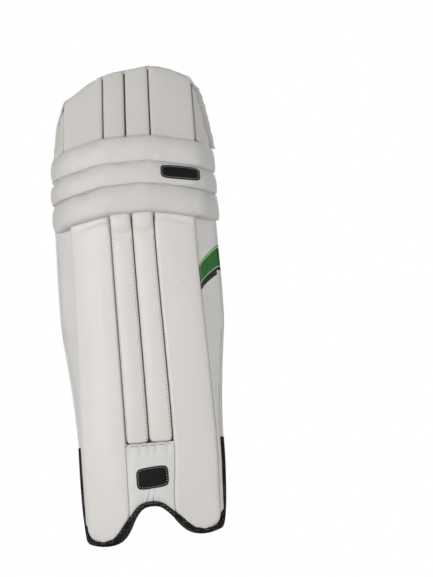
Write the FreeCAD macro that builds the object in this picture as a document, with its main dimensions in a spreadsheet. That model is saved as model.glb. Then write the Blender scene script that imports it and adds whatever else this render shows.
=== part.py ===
"""Cricket batting leg pad, built as separate pieces in millimetres.

+Z is up, -Y is the front that faces the bowler, and +X is the wearer's outer side.
The origin is under the middle of the pad's box, on the surface that the pad stands on.
Every body is drawn with y = 0 on the front line of the shin panels and then moved by CENTRE_Y.
The pad wraps a leg: two narrow panels in the middle, a wide panel each side of them, and two wings.
"""

import math
import os

import FreeCAD
import Part
import Sketcher

doc = FreeCAD.newDocument("leg_pad")
sheet = doc.addObject("Spreadsheet::Sheet", "dims")


class Size:
    """A number together with the expression that FreeCAD works it out by."""

    def __init__(self, value, text=None):
        self.value = float(value)
        self.text = text or repr(float(value))

    def __add__(self, other):
        other = size(other)
        return Size(self.value + other.value, f"({self.text} + {other.text})")

    def __sub__(self, other):
        other = size(other)
        return Size(self.value - other.value, f"({self.text} - {other.text})")

    def __mul__(self, other):
        other = size(other)
        return Size(self.value * other.value, f"({self.text} * {other.text})")

    def __truediv__(self, other):
        other = size(other)
        return Size(self.value / other.value, f"({self.text} / {other.text})")

    def __neg__(self):
        return Size(-self.value, f"(-1 * {self.text})")

    __radd__ = __add__
    __rmul__ = __mul__

    def __rsub__(self, other):
        return size(other) - self


def size(value):
    return value if isinstance(value, Size) else Size(value)


def sin(angle):
    return Size(math.sin(math.radians(angle.value)), f"sin({angle.text})")


def cos(angle):
    return Size(math.cos(math.radians(angle.value)), f"cos({angle.text})")


def tan(angle):
    return Size(math.tan(math.radians(angle.value)), f"tan({angle.text})")


def root(number):
    return Size(math.sqrt(number.value), f"sqrt({number.text})")


SHEET_ROWS = []


def cell(alias, value, meaning):
    """A driving dimension: one row of the sheet."""
    row = len(SHEET_ROWS) + 1
    SHEET_ROWS.append(alias)
    sheet.set(f"A{row}", meaning)
    sheet.set(f"B{row}", str(value))
    sheet.setAlias(f"B{row}", alias)
    return Size(value, f"dims.{alias}")


# --- driving dimensions -------------------------------------------------------------------
NARROW_WIDTH = cell("narrow_width", 32, "front width of each narrow panel")
WIDE_WIDTH = cell("wide_width", 62.5, "front width of each wide panel")
WIDE_TILT = cell("wide_tilt", 18, "angle that a wide panel turns back, degrees")
WING_WIDTH = cell("wing_width", 50, "front-to-back width of a wing")
WING_TILT = cell("wing_tilt", 66, "angle that a wing turns back, degrees")
WING_STEP = cell("wing_step", 8, "how far a wing's face lies behind the wide panel's face")
PANEL_THICK = cell("panel_thick", 22, "thickness of a shin panel, cover and foam")
WING_THICK = cell("wing_thick", 14, "thickness of a wing")
BOARD_THICK = cell("board_thick", 5, "thickness of the stiff boards")
LINING_THICK = cell("lining_thick", 3, "thickness of the quilted lining")
COVER_THICK = cell("cover_thick", 2, "thickness of the leathercloth covers with their wadding")
EDGE_ROUND = cell("edge_round", 5, "rounding of the panels' front edges")
SIDE_GAP = cell("side_gap", 0.6, "gap between pieces that lie side by side")
LAYER_GAP = cell("layer_gap", 0.3, "gap between layers that lie on each other")
NOTCH_TOP = cell("notch_top", 55, "height of the top of the instep notch")
NOTCH_RADIUS = cell("notch_radius", 22, "radius of the top of the instep notch")
LOBE_RADIUS = cell("lobe_radius", 31, "radius of each lobe at the foot")
LOBE_OFFSET = cell("lobe_offset", 66, "distance from the middle to each lobe's centre")
LOBE_RISE = cell("lobe_rise", 8, "how much higher the +X lobe ends")
PATCH_TOP = cell("patch_top", 139, "height of the top of the instep patch")
PATCH_THICK = cell("patch_thick", 3, "thickness of the instep patch")
PATCH_STEP = cell("patch_step", 4, "how far the patch lies behind the panels' faces")
SHIN_TOP = cell("shin_top", 473, "height of the seam between shin and knee rolls")
CANE_RADIUS = cell("cane_radius", 3, "radius of a cane")
CANE_CLEAR = cell("cane_clear", 0.3, "clearance of a cane in its hole")
CANE_LOW = cell("cane_low", 160, "height of the canes' lower ends")
CANE_HIGH = cell("cane_high", 462, "height of the canes' upper ends")
ROLL_PROUD = cell("roll_proud", 14, "how far the knee rolls stand in front of the shin panels")
ROLL_SIDE = cell("roll_side", 7, "how far the knee rolls stand outside the wings")
ROLL_LOWER = cell("roll_lower", 37, "height of the lower knee roll")
ROLL_MIDDLE = cell("roll_middle", 30, "height of the middle knee roll")
ROLL_UPPER = cell("roll_upper", 36, "height of the upper knee roll")
ROLL_DEPTH = cell("roll_depth", 28, "thickness of a knee roll at the middle of the knee")
ROLL_ROUND = cell("roll_round", 11, "rounding of a knee roll's outer edges")
ROLL_SKIN = cell("roll_skin", 5, "thickness of a knee roll's cover with its wadding")
LEAN = cell("lean", 26, "angle that the top hat leans back, degrees")
HAT_SET_BACK = cell("hat_set_back", 10, "how far the top hat's foot lies behind the panels' faces")
HAT_WIDE = cell("hat_wide", 61, "width of the top hat's wide panels")
HAT_WING = cell("hat_wing", 44, "width of the top hat's wings at its foot")
HAT_THICK = cell("hat_thick", 14, "thickness of the top hat's panels")
HAT_BOARD = cell("hat_board", 4, "thickness of the top hat's board")
HAT_PEAK = cell("hat_peak", 130, "height up the slope where the top hat's arc begins")
HAT_PEAK_X = cell("hat_peak_x", 8, "how far to +X the top hat's arc begins")
HAT_INNER = cell("hat_inner", 88, "height of the top hat's inner corner up its slope")
HAT_OUTER = cell("hat_outer", 113, "height of the top hat's outer corner up its slope")
HAT_INNER_IN = cell("hat_inner_in", 10, "distance from the wide panel's edge in to the inner corner")
HAT_OUTER_OUT = cell("hat_outer_out", 4, "distance from the wide panel's edge out to the outer corner")
HAT_CROWN = cell("hat_crown", 86, "radius of the top hat's rounded outer top")
BINDING_WIDTH = cell("binding_width", 7.5, "width of the bindings")
BINDING_WRAP = cell("binding_wrap", 1, "thickness of a binding over the face it wraps")
HEEL_TOP = cell("heel_top", 142, "height where the dark binding meets the white one")
HEEL_BACK = cell("heel_back", 48, "depth of the wings' back edge at the foot")
TAPER_TOP = cell("taper_top", 320, "height where the wings start to narrow")
BOLSTER_WIDTH = cell("bolster_width", 42, "width of an inner bolster")
BOLSTER_THICK = cell("bolster_thick", 16, "thickness of an inner bolster")
BOLSTER_LOW = cell("bolster_low", 150, "height of the inner bolsters' lower ends")
BOLSTER_HIGH = cell("bolster_high", 440, "height of the inner bolsters' upper ends")
CUP_REACH = cell("cup_reach", 26, "length of the knee cup on each wide panel")
CUP_THICK = cell("cup_thick", 13, "thickness of the knee cup")
CUP_DISH = cell("cup_dish", 27, "radius of the hollow for the kneecap")
STRAP_SLACK = cell("strap_slack", 18, "how far behind its fixing a strap crosses the leg")
ANKLE_CLEAR = cell("ankle_clear", 1.5, "gap along a wing between the lining's corner and the ankle strap")
HINGE_ROOM = cell("hinge_room", 3, "distance from a strap's fixing to the line it swings about")
HINGE_GAP = cell("hinge_gap", 0.15, "distance from a strap's swing line to the webbing each side")
STRAP_THICK = cell("strap_thick", 2.2, "thickness of the strap webbing")
STRAP_BEND = cell("strap_bend", 5, "radius of a strap's turns")
STRAP_WIDTH = cell("strap_width", 38, "width of the knee and ankle straps")
CALF_WIDTH = cell("calf_width", 64, "width of the calf strap")
KNEE_STRAP = cell("knee_strap", 514, "height of the knee strap's middle")
CALF_STRAP = cell("calf_strap", 372, "height of the calf strap's middle")
ANKLE_STRAP = cell("ankle_strap", 190, "height of the ankle strap's middle")
PATCH_LENGTH = cell("patch_length", 26, "length of the hook and loop patches")
HOOK_THICK = cell("hook_thick", 1.5, "thickness of a hook or loop patch")

KNEE_TOP = SHIN_TOP + ROLL_LOWER + ROLL_MIDDLE + ROLL_UPPER
FAR = Size(260)

# Depths below the panels' faces where each layer starts or ends.
BOARD_FRONT = PANEL_THICK + LAYER_GAP
BOARD_BACK = BOARD_FRONT + BOARD_THICK
LINING_FRONT = BOARD_BACK + LAYER_GAP
LINING_BACK = LINING_FRONT + LINING_THICK
ROLL_BACK = ROLL_DEPTH - ROLL_PROUD
KNEE_BOARD_FRONT = ROLL_BACK + LAYER_GAP
KNEE_BOARD_BACK = KNEE_BOARD_FRONT + BOARD_THICK
KNEE_LINING_FRONT = KNEE_BOARD_BACK + LAYER_GAP
KNEE_LINING_BACK = KNEE_LINING_FRONT + LINING_THICK
WING_LINING_FRONT = WING_THICK + LAYER_GAP
WING_INNER = WING_LINING_FRONT + LINING_THICK


# --- plan geometry ------------------------------------------------------------------------
def moved(point, angle, distance):
    """A point that distance further along the direction angle."""
    return (point[0] + distance * cos(angle), point[1] + distance * sin(angle))


def inward(point, angle, distance):
    """A point that distance to the leg's side of a line along angle."""
    return (point[0] - distance * sin(angle), point[1] + distance * cos(angle))


def meet(p, a, q, b):
    """Where the line through p along angle a crosses the line through q along angle b."""
    reach = ((q[0] - p[0]) * sin(b) - (q[1] - p[1]) * cos(b)) / sin(b - a)
    return moved(p, a, reach)


def wide_point(along, depth):
    """A point of a wide panel: along its face from the narrow panel, and below its face."""
    return inward(moved((NARROW_WIDTH, Size(0)), WIDE_TILT, along), WIDE_TILT, depth)


def bend_point(depth):
    """The corner at that depth between the flat middle and a wide panel."""
    return (NARROW_WIDTH - depth * tan(WIDE_TILT / 2), size(depth))


def wing_point(along, depth):
    """A point of a wing: along its face from the wide panel, and below its face."""
    foot = wide_point(WIDE_WIDTH + SIDE_GAP, WING_STEP)
    return inward(moved(foot, WING_TILT, size(along)), WING_TILT, size(depth))


def wing_corner(panel_depth, depth):
    """Where that depth of a wing meets that depth of the wide panel."""
    return meet(wide_point(WIDE_WIDTH, panel_depth), WIDE_TILT, wing_point(0, depth), WING_TILT)


def along_wing(panel_depth, depth):
    """How far along a wing its line at that depth clears that depth of the wide panel."""
    p, q = wing_point(0, depth), wide_point(WIDE_WIDTH, panel_depth)
    across = (q[0] - p[0]) * sin(WIDE_TILT) - (q[1] - p[1]) * cos(WIDE_TILT)
    return across / sin(WIDE_TILT - WING_TILT)


def mirrored(points):
    return [(-x, y) for x, y in points]


def strap_back(reach):
    """The depth of the outer face of a strap that is fixed that far along the wings."""
    return wing_point(reach, WING_INNER)[1] + STRAP_SLACK


CENTRE_Y = (ROLL_PROUD - strap_back(WING_WIDTH)) / 2


# --- drawing helpers ----------------------------------------------------------------------
def plane(body, role):
    return next(f for f in body.Origin.OriginFeatures if f.Role == role)


def arc_middle(start, end, radius, side):
    """The middle of the short arc from start to end whose centre is on that side of the way."""
    dx, dy = end[0] - start[0], end[1] - start[1]
    chord = math.hypot(dx, dy)
    height = radius - math.sqrt(max(radius**2 - chord**2 / 4, 0))
    return (
        (start[0] + end[0]) / 2 + side * height * dy / chord,
        (start[1] + end[1]) / 2 - side * height * dx / chord,
    )


def outline(body, name, role, corners, arcs=None, height=None):
    """A closed sketch on one of the body's own planes.

    Each corner's two distances are bound to the sheet. arcs gives, for an edge's number,
    its radius and side: 1 where the arc's centre is left of the way round, -1 where right.
    """
    arcs = arcs or {}
    sketch = body.newObject("Sketcher::SketchObject", name)
    sketch.AttachmentSupport = [(plane(body, role), "")]
    sketch.MapMode = "FlatFace"
    if height is not None:
        sketch.setExpression(".AttachmentOffset.Base.z", size(height).text)
    corners = [(size(x), size(y)) for x, y in corners]
    ends = []
    for i, corner in enumerate(corners):
        following = corners[(i + 1) % len(corners)]
        start = (corner[0].value, corner[1].value)
        end = (following[0].value, following[1].value)
        a, b = FreeCAD.Vector(*start, 0), FreeCAD.Vector(*end, 0)
        if i in arcs:
            radius, side = arcs[i]
            middle = arc_middle(start, end, size(radius).value, side)
            sketch.addGeometry(Part.Arc(a, FreeCAD.Vector(*middle, 0), b))
            ends.append((1, 2) if side > 0 else (2, 1))
        else:
            sketch.addGeometry(Part.LineSegment(a, b))
            ends.append((1, 2))
    for i in range(len(corners)):
        j = (i + 1) % len(corners)
        sketch.addConstraint(Sketcher.Constraint("Coincident", i, ends[i][1], j, ends[j][0]))
    for i, (x, y) in enumerate(corners):
        for kind, value in (("DistanceX", x), ("DistanceY", y)):
            made = sketch.addConstraint(
                Sketcher.Constraint(kind, -1, 1, i, ends[i][0], value.value)
            )
            sketch.setExpression(f"Constraints[{made}]", value.text)
    for i, (radius, _) in arcs.items():
        made = sketch.addConstraint(Sketcher.Constraint("Radius", i, size(radius).value))
        sketch.setExpression(f"Constraints[{made}]", size(radius).text)
    return sketch


PIECES = []


def new_body(label):
    body = doc.addObject("PartDesign::Body", label)
    body.Label = label
    PIECES.append(body)
    return body


def place(body, base_y=CENTRE_Y, base_z=Size(0), lean=None):
    """Moves a finished body from its drawing frame to the pad's frame."""
    if lean is not None:
        body.Placement = FreeCAD.Placement(
            FreeCAD.Vector(), FreeCAD.Rotation(FreeCAD.Vector(1, 0, 0), -lean.value)
        )
        body.setExpression(".Placement.Rotation.Angle", f"-1 * {lean.text}")
    body.setExpression(".Placement.Base.y", base_y.text)
    body.setExpression(".Placement.Base.z", base_z.text)


def prism(label, corners, low, high, arcs=None):
    """A body with that plan outline between two heights."""
    body = new_body(label)
    sketch = outline(body, f"{label}_plan", "XY_Plane", corners, arcs, low)
    pad = body.newObject("PartDesign::Pad", f"{label}_pad")
    pad.Profile = sketch
    pad.setExpression("Length", (size(high) - low).text)
    doc.recompute()
    return body


def cut(body, name, role, corners, arcs=None):
    """Cuts that outline right through a body, both ways from the plane."""
    before = body.Shape.Volume
    sketch = outline(body, f"{body.Label}_{name}", role, corners, arcs)
    pocket = body.newObject("PartDesign::Pocket", f"{body.Label}_{name}_cut")
    pocket.Profile = sketch
    pocket.Midplane = True
    pocket.setExpression("Length", (FAR * 4).text)
    doc.recompute()
    if body.Shape.Volume >= before:
        raise RuntimeError(f"{name} cut nothing from {body.Label}")
    return body


def fillet(body, chosen, radius):
    """Rounds the edges of the body's last feature that chosen picks."""
    tip = body.Tip
    names = [f"Edge{i + 1}" for i, edge in enumerate(tip.Shape.Edges) if chosen(edge)]
    rounded = body.newObject("PartDesign::Fillet", f"{body.Label}_round{len(body.Group)}")
    rounded.Base = (tip, names)
    rounded.setExpression("Radius", size(radius).text)
    doc.recompute()
    return body


def upright(edge):
    """Whether an edge runs straight up."""
    ends = [v.Point for v in edge.Vertexes]
    return len(ends) == 2 and abs(ends[0].x - ends[1].x) < 1e-6 and abs(ends[0].y - ends[1].y) < 1e-6


def upright_near(points):
    """Picks upright edges that stand on any of these plan points."""
    spots = [(x.value, y.value) for x, y in points]

    def chosen(edge):
        if not upright(edge):
            return False
        at = edge.Vertexes[0].Point
        return any(math.hypot(at.x - x, at.y - y) < 0.01 for x, y in spots)

    return chosen


def flip(points, side):
    """The same outline on the -X side, where side is -1."""
    return points if side > 0 else mirrored(points)


SIDES = (("left", -1), ("right", 1))


# --- outlines that trim many pieces ---------------------------------------------------------
def foot_curve(inset):
    """The foot's edge, drawn in by inset: corners from the -X side to the +X side, and arcs.

    The lobes and the notch are circles joined by their inner tangents.
    """
    notch_z = NOTCH_TOP - NOTCH_RADIUS
    notch_radius, lobe_radius = NOTCH_RADIUS + inset, LOBE_RADIUS - inset

    def tangent_points(lobe_z):
        apart = root(LOBE_OFFSET * LOBE_OFFSET + (lobe_z - notch_z) * (lobe_z - notch_z))
        along = (NOTCH_RADIUS + LOBE_RADIUS) / apart
        across = root(1 - along * along)
        ux, uz = LOBE_OFFSET / apart, (lobe_z - notch_z) / apart
        mx, mz = along * ux - across * uz, along * uz + across * ux
        on_notch = (notch_radius * mx, notch_z + notch_radius * mz)
        on_lobe = (LOBE_OFFSET - lobe_radius * mx, lobe_z - lobe_radius * mz)
        return on_notch, on_lobe

    left_z, right_z = LOBE_RADIUS, LOBE_RADIUS + LOBE_RISE
    left_notch, left_lobe = tangent_points(left_z)
    right_notch, right_lobe = tangent_points(right_z)
    corners = [
        (-(LOBE_OFFSET + lobe_radius), left_z),
        (-left_lobe[0], left_lobe[1]),
        (-left_notch[0], left_notch[1]),
        right_notch,
        right_lobe,
        (LOBE_OFFSET + lobe_radius, right_z),
    ]
    arcs = {0: (lobe_radius, 1), 2: (notch_radius, -1), 4: (lobe_radius, 1)}
    return corners, arcs


def trim_foot(body, inset):
    """Cuts away all that lies below the foot's edge."""
    curve, arcs = foot_curve(size(inset))
    first, last = curve[0], curve[-1]
    corners = curve + [(FAR, last[1]), (FAR, -FAR), (-FAR, -FAR), (-FAR, first[1])]
    return cut(body, "foot", "XZ_Plane", corners, arcs)


def keep_foot_band(body, width):
    """Cuts away all but the strip of that width along the foot's edge."""
    trim_foot(body, 0)
    curve, arcs = foot_curve(size(width))
    first, last = curve[0], curve[-1]
    corners = curve + [(FAR, last[1]), (FAR, FAR), (-FAR, FAR), (-FAR, first[1])]
    return cut(body, "band", "XZ_Plane", corners, arcs)


def wing_back():
    """The depth of a wing's back corner where the wing is widest."""
    return wing_point(WING_WIDTH, WING_INNER)[1]


def trim_wing_back(body, inset):
    """Cuts a wing's back edge upright above TAPER_TOP and slanting in below it."""
    top = wing_back() - inset
    foot = HEEL_BACK - inset
    corners = [(top, FAR * 3), (top, TAPER_TOP), (foot, Size(0)), (foot, -FAR), (FAR, -FAR), (FAR, FAR * 3)]
    return cut(body, "back", "YZ_Plane", corners)


def keep_back_band(body, width):
    """Cuts away all of a wing but the strip along its back edge."""
    trim_wing_back(body, 0)
    top = wing_back() - width
    foot = HEEL_BACK - width
    corners = [(top, FAR * 3), (top, TAPER_TOP), (foot, Size(0)), (foot, -FAR), (-FAR, -FAR), (-FAR, FAR * 3)]
    return cut(body, "front", "YZ_Plane", corners)


TRIM = BINDING_WIDTH + LAYER_GAP


# --- shin -----------------------------------------------------------------------------------
def channel(outer, thickness_points):
    """A U-shaped outline: the outer corners, then the inner ones the other way round."""
    return outer + list(reversed(thickness_points))


def narrow_outline(inset):
    """Plan of a narrow panel on the +X side, drawn in by inset at the front and the sides."""
    side = SIDE_GAP / 2 + inset
    slant = tan(WIDE_TILT / 2)
    return [
        (side, PANEL_THICK),
        (side, size(inset)),
        (NARROW_WIDTH - side - inset * slant, size(inset)),
        (NARROW_WIDTH - side - PANEL_THICK * slant, PANEL_THICK),
    ]


def wide_outline(inset, width, thick):
    """Plan of a wide panel on the +X side, drawn in by inset at the front and the sides."""
    side = SIDE_GAP / 2 + inset
    slant = tan(WIDE_TILT / 2)
    return [
        wide_point(side + thick * slant, thick),
        wide_point(side + inset * slant, size(inset)),
        wide_point(width - inset, size(inset)),
        wide_point(width - inset, thick),
    ]


def cane_hole(body, spot, radius):
    """Bores one cane's hole up through a foam core."""
    before = body.Shape.Volume
    sketch = body.newObject("Sketcher::SketchObject", f"{body.Label}_bore{len(body.Group)}")
    sketch.AttachmentSupport = [(plane(body, "XY_Plane"), "")]
    sketch.MapMode = "FlatFace"
    centre = FreeCAD.Vector(spot[0].value, spot[1].value, 0)
    sketch.addGeometry(Part.Circle(centre, FreeCAD.Vector(0, 0, 1), radius.value))
    for kind, value in (("DistanceX", spot[0]), ("DistanceY", spot[1])):
        made = sketch.addConstraint(Sketcher.Constraint(kind, -1, 1, 0, 3, value.value))
        sketch.setExpression(f"Constraints[{made}]", value.text)
    made = sketch.addConstraint(Sketcher.Constraint("Radius", 0, radius.value))
    sketch.setExpression(f"Constraints[{made}]", radius.text)
    sketch.setExpression(".AttachmentOffset.Base.z", (CANE_LOW - CANE_CLEAR).text)
    pocket = body.newObject("PartDesign::Pocket", f"{sketch.Name}_cut")
    pocket.Profile = sketch
    pocket.Reversed = True
    pocket.setExpression("Length", (CANE_HIGH - CANE_LOW + CANE_CLEAR * 2).text)
    doc.recompute()
    if body.Shape.Volume >= before:
        raise RuntimeError(f"a cane hole cut nothing from {body.Label}")


def cane_spots():
    """Plan places of the canes on the +X side: two in the narrow panel, four in the wide one."""
    middle = (PANEL_THICK + COVER_THICK) / 2
    narrow = [(NARROW_WIDTH * share, middle) for share in (0.3, 0.62)]
    wide = [wide_point(WIDE_WIDTH * share, middle) for share in (0.2, 0.41, 0.62, 0.82)]
    return {"narrow": narrow, "wide": wide}


def shin_panels():
    """Covers and foam cores of the four upright panels."""
    core_inset = COVER_THICK + LAYER_GAP
    for name, side in SIDES:
        shapes = {
            "narrow": (narrow_outline, PATCH_TOP + LAYER_GAP),
            "wide": (lambda inset: wide_outline(inset, WIDE_WIDTH, PANEL_THICK), Size(0)),
        }
        for kind, (shape, low) in shapes.items():
            outer, inner = shape(Size(0)), shape(COVER_THICK)
            skin = channel(outer, inner)
            cover = prism(f"{kind}_cover_{name}", flip(skin, side), low, SHIN_TOP - SIDE_GAP)
            fillet(cover, upright_near(flip(outer[1:3], side)), EDGE_ROUND)
            filling = shape(core_inset)
            core = prism(f"{kind}_core_{name}", flip(filling, side), low, SHIN_TOP - SIDE_GAP)
            fillet(core, upright_near(flip(filling[1:3], side)), EDGE_ROUND - COVER_THICK)
            for spot in flip(cane_spots()[kind], side):
                cane_hole(core, spot, CANE_RADIUS + CANE_CLEAR)
            if kind == "wide":
                trim_foot(cover, TRIM)
                trim_foot(core, TRIM + COVER_THICK)
            place(cover)
            place(core)


def canes():
    """The split canes that stiffen the panels, as one node of separate rods."""
    rods = []
    for name, side in SIDES:
        for kind, spots in cane_spots().items():
            for i, (x, y) in enumerate(flip(spots, side)):
                rod = doc.addObject("Part::Cylinder", f"cane_{kind}_{name}_{i + 1}")
                rod.setExpression("Radius", CANE_RADIUS.text)
                rod.setExpression("Height", (CANE_HIGH - CANE_LOW).text)
                rod.setExpression(".Placement.Base.x", x.text)
                rod.setExpression(".Placement.Base.y", (y + CENTRE_Y).text)
                rod.setExpression(".Placement.Base.z", CANE_LOW.text)
                rods.append(rod)
    bundle = doc.addObject("Part::Compound", "canes")
    bundle.Label = "canes"
    bundle.Links = rods
    PIECES.append(bundle)


def instep():
    """The patch over the instep and the foam under it."""
    half = NARROW_WIDTH - SIDE_GAP / 2
    slant = tan(WIDE_TILT / 2)

    def slab(front, back):
        return [
            (-(half - back * slant), back),
            (-(half - front * slant), front),
            (half - front * slant, front),
            (half - back * slant, back),
        ]

    skin_back = PATCH_STEP + PATCH_THICK
    patch = prism("instep_patch", slab(PATCH_STEP, skin_back), Size(0), PATCH_TOP)
    foam = prism("instep_foam", slab(skin_back + LAYER_GAP, PANEL_THICK), Size(0), PATCH_TOP)
    for body in (patch, foam):
        trim_foot(body, TRIM)
        place(body)


def shin_boards():
    """The stiff boards behind the panels: one in the middle and one each side."""
    front, back = bend_point(BOARD_FRONT), bend_point(BOARD_BACK)
    middle = [(-back[0], back[1]), (-front[0], front[1]), front, back]
    board = prism("shin_board_middle", middle, Size(0), SHIN_TOP - SIDE_GAP)
    trim_foot(board, TRIM)
    place(board)
    for name, side in SIDES:
        start = [moved(bend_point(d), WIDE_TILT, LAYER_GAP) for d in (BOARD_FRONT, BOARD_BACK)]
        end = [wide_point(WIDE_WIDTH, d) for d in (BOARD_BACK, BOARD_FRONT)]
        corners = [start[1], start[0], end[1], end[0]]
        board = prism(f"shin_board_{name}", flip(corners, side), Size(0), SHIN_TOP - SIDE_GAP)
        trim_wing_back(board, TRIM)
        trim_foot(board, TRIM)
        place(board)


def wings():
    """The two padded side wings."""
    for name, side in SIDES:
        end = WING_WIDTH + 2
        corners = [
            wing_point(0, 0),
            wing_point(end, 0),
            wing_point(end, WING_THICK),
            wing_corner(BOARD_BACK, WING_THICK),
            meet(
                wide_point(WIDE_WIDTH + SIDE_GAP, BOARD_BACK),
                WIDE_TILT,
                wide_point(WIDE_WIDTH + SIDE_GAP, Size(0)),
                WIDE_TILT + 90,
            ),
        ]
        wing = prism(f"wing_{name}", flip(corners, side), Size(0), SHIN_TOP - SIDE_GAP)
        trim_wing_back(wing, TRIM)
        trim_foot(wing, TRIM)
        place(wing)


def lining_outline(depth, wing_depth, thick, end):
    """Plan of a lining that runs from wing to wing."""
    front = [
        bend_point(depth),
        wing_corner(depth, wing_depth),
        wing_point(end, wing_depth),
    ]
    back = [
        bend_point(depth + thick),
        wing_corner(depth + thick, wing_depth + thick),
        wing_point(end, wing_depth + thick),
    ]
    return mirrored(list(reversed(front))) + front + list(reversed(back)) + mirrored(back)


def shin_lining():
    corners = lining_outline(LINING_FRONT, WING_LINING_FRONT, LINING_THICK, WING_WIDTH + 2)
    body = prism("shin_lining", corners, Size(0), SHIN_TOP - SIDE_GAP)
    trim_wing_back(body, TRIM)
    trim_foot(body, TRIM)
    place(body)


def inner_bolsters():
    """Two upright bolsters that hold the shin off the boards."""
    front = LINING_BACK + LAYER_GAP
    for name, side in SIDES:
        start = Size(9)
        corners = [
            wide_point(start, front),
            wide_point(start + BOLSTER_WIDTH, front),
            wide_point(start + BOLSTER_WIDTH, front + BOLSTER_THICK),
            wide_point(start, front + BOLSTER_THICK),
        ]
        bolster = prism(f"inner_bolster_{name}", flip(corners, side), BOLSTER_LOW, BOLSTER_HIGH)
        fillet(bolster, upright_near(flip(corners[2:], side)), BOLSTER_THICK / 2 - 1)
        place(bolster)


def wing_section(wrap, end):
    """Plan of a binding's reach round a wing and its lining."""
    return [
        wing_point(0, -wrap),
        wing_point(end, -wrap),
        wing_point(end, WING_INNER + wrap),
        wing_corner(LINING_BACK + wrap, WING_INNER + wrap),
    ]


def shin_bindings():
    """The dark binding round the foot, and the dark and white ones up the back edges."""
    depth = PANEL_THICK / 2
    inner = LINING_BACK + BINDING_WRAP
    outer_edge = [
        bend_point(depth),
        wing_corner(depth, -BINDING_WRAP),
        wing_point(WING_WIDTH, -BINDING_WRAP),
    ]
    inner_edge = [
        bend_point(inner),
        wing_corner(inner, WING_INNER + BINDING_WRAP),
        wing_point(WING_WIDTH, WING_INNER + BINDING_WRAP),
    ]
    corners = mirrored(list(reversed(outer_edge))) + outer_edge
    corners += list(reversed(inner_edge)) + mirrored(inner_edge)
    foot = prism("foot_binding", corners, Size(-1), LOBE_RADIUS + LOBE_RISE + NOTCH_TOP)
    keep_foot_band(foot, BINDING_WIDTH)
    trim_wing_back(foot, 0)
    place(foot)
    spans = {
        "heel_binding": (LOBE_RADIUS + LOBE_RISE + LAYER_GAP, HEEL_TOP),
        "side_binding": (HEEL_TOP + LAYER_GAP, SHIN_TOP - SIDE_GAP),
    }
    for kind, (low, high) in spans.items():
        for name, side in SIDES:
            section = flip(wing_section(BINDING_WRAP, WING_WIDTH + 2), side)
            binding = prism(f"{kind}_{name}", section, low, high)
            keep_back_band(binding, BINDING_WIDTH)
            place(binding)


# --- knee -----------------------------------------------------------------------------------
def roll_outline(inset):
    """Plan of a knee roll from edge to edge, drawn in by inset on all its outer sides."""
    proud, side = ROLL_PROUD - inset, ROLL_SIDE - inset
    end = WING_WIDTH - BINDING_WIDTH - LAYER_GAP - inset
    side_depth = WING_INNER - LINING_THICK - BOARD_THICK - LAYER_GAP * 2
    front = [
        bend_point(-proud),
        wing_corner(-proud, -side),
        wing_point(end, -side),
    ]
    back = [
        bend_point(ROLL_BACK),
        wing_corner(ROLL_BACK, side_depth),
        wing_point(end, side_depth),
    ]
    return front, back


def knee_rolls():
    """Three stacked rolls: a hollow cover each, with a foam core inside."""
    levels = (
        ("lower", SHIN_TOP, ROLL_LOWER),
        ("middle", SHIN_TOP + ROLL_LOWER, ROLL_MIDDLE),
        ("upper", SHIN_TOP + ROLL_LOWER + ROLL_MIDDLE, ROLL_UPPER),
    )
    front, back = roll_outline(Size(0))
    outer = mirrored(list(reversed(front))) + front
    corners = outer + list(reversed(back)) + mirrored(back)
    core_inset = ROLL_SKIN + LAYER_GAP
    core_front, core_back = roll_outline(core_inset)
    core_corners = mirrored(list(reversed(core_front))) + core_front
    core_corners += list(reversed(core_back)) + mirrored(core_back)
    skin_front, _ = roll_outline(ROLL_SKIN)
    skin = outer + [back[2]] + list(reversed(skin_front)) + mirrored(skin_front)
    skin += [(-back[2][0], back[2][1])]
    for name, low, tall in levels:
        cover = prism(f"knee_roll_cover_{name}", corners, low + SIDE_GAP / 2, low + tall - SIDE_GAP / 2)
        front_points = [(x.value, y.value) for x, y in outer]

        def on_front(edge, spots=front_points):
            """Level edges between two neighbouring front corners."""
            ends = [v.Point for v in edge.Vertexes]
            if len(ends) < 2 or abs(ends[0].z - ends[1].z) > 1e-6:
                return False
            found = [
                min(range(len(spots)), key=lambda i: math.hypot(p.x - spots[i][0], p.y - spots[i][1]))
                for p in ends
            ]
            near = all(
                math.hypot(p.x - spots[k][0], p.y - spots[k][1]) < 0.01
                for p, k in zip(ends, found)
            )
            return near and abs(found[0] - found[1]) == 1

        fillet(cover, on_front, ROLL_ROUND)
        hollow = outline(
            cover, f"{cover.Label}_hollow", "XY_Plane",
            roll_hollow(), None, low + ROLL_SKIN,
        )
        before = cover.Shape.Volume
        pocket = cover.newObject("PartDesign::Pocket", f"{cover.Label}_hollow_cut")
        pocket.Profile = hollow
        pocket.Reversed = True
        pocket.setExpression("Length", (tall - ROLL_SKIN * 2).text)
        doc.recompute()
        if cover.Shape.Volume >= before:
            raise RuntimeError(f"the hollow cut nothing from {cover.Label}")
        core = prism(
            f"knee_roll_core_{name}", core_corners,
            low + ROLL_SKIN + LAYER_GAP, low + tall - ROLL_SKIN - LAYER_GAP,
        )
        place(cover)
        place(core)


def roll_hollow():
    """Plan of the room for a roll's core, open at the back of its cover."""
    front, back = roll_outline(ROLL_SKIN)
    beyond = [(x, y + 1) for x, y in (back[0],)]
    corners = mirrored(list(reversed(front))) + front
    corners += [back[2], back[1]] + beyond + mirrored(beyond) + mirrored([back[1], back[2]])
    return corners


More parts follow.
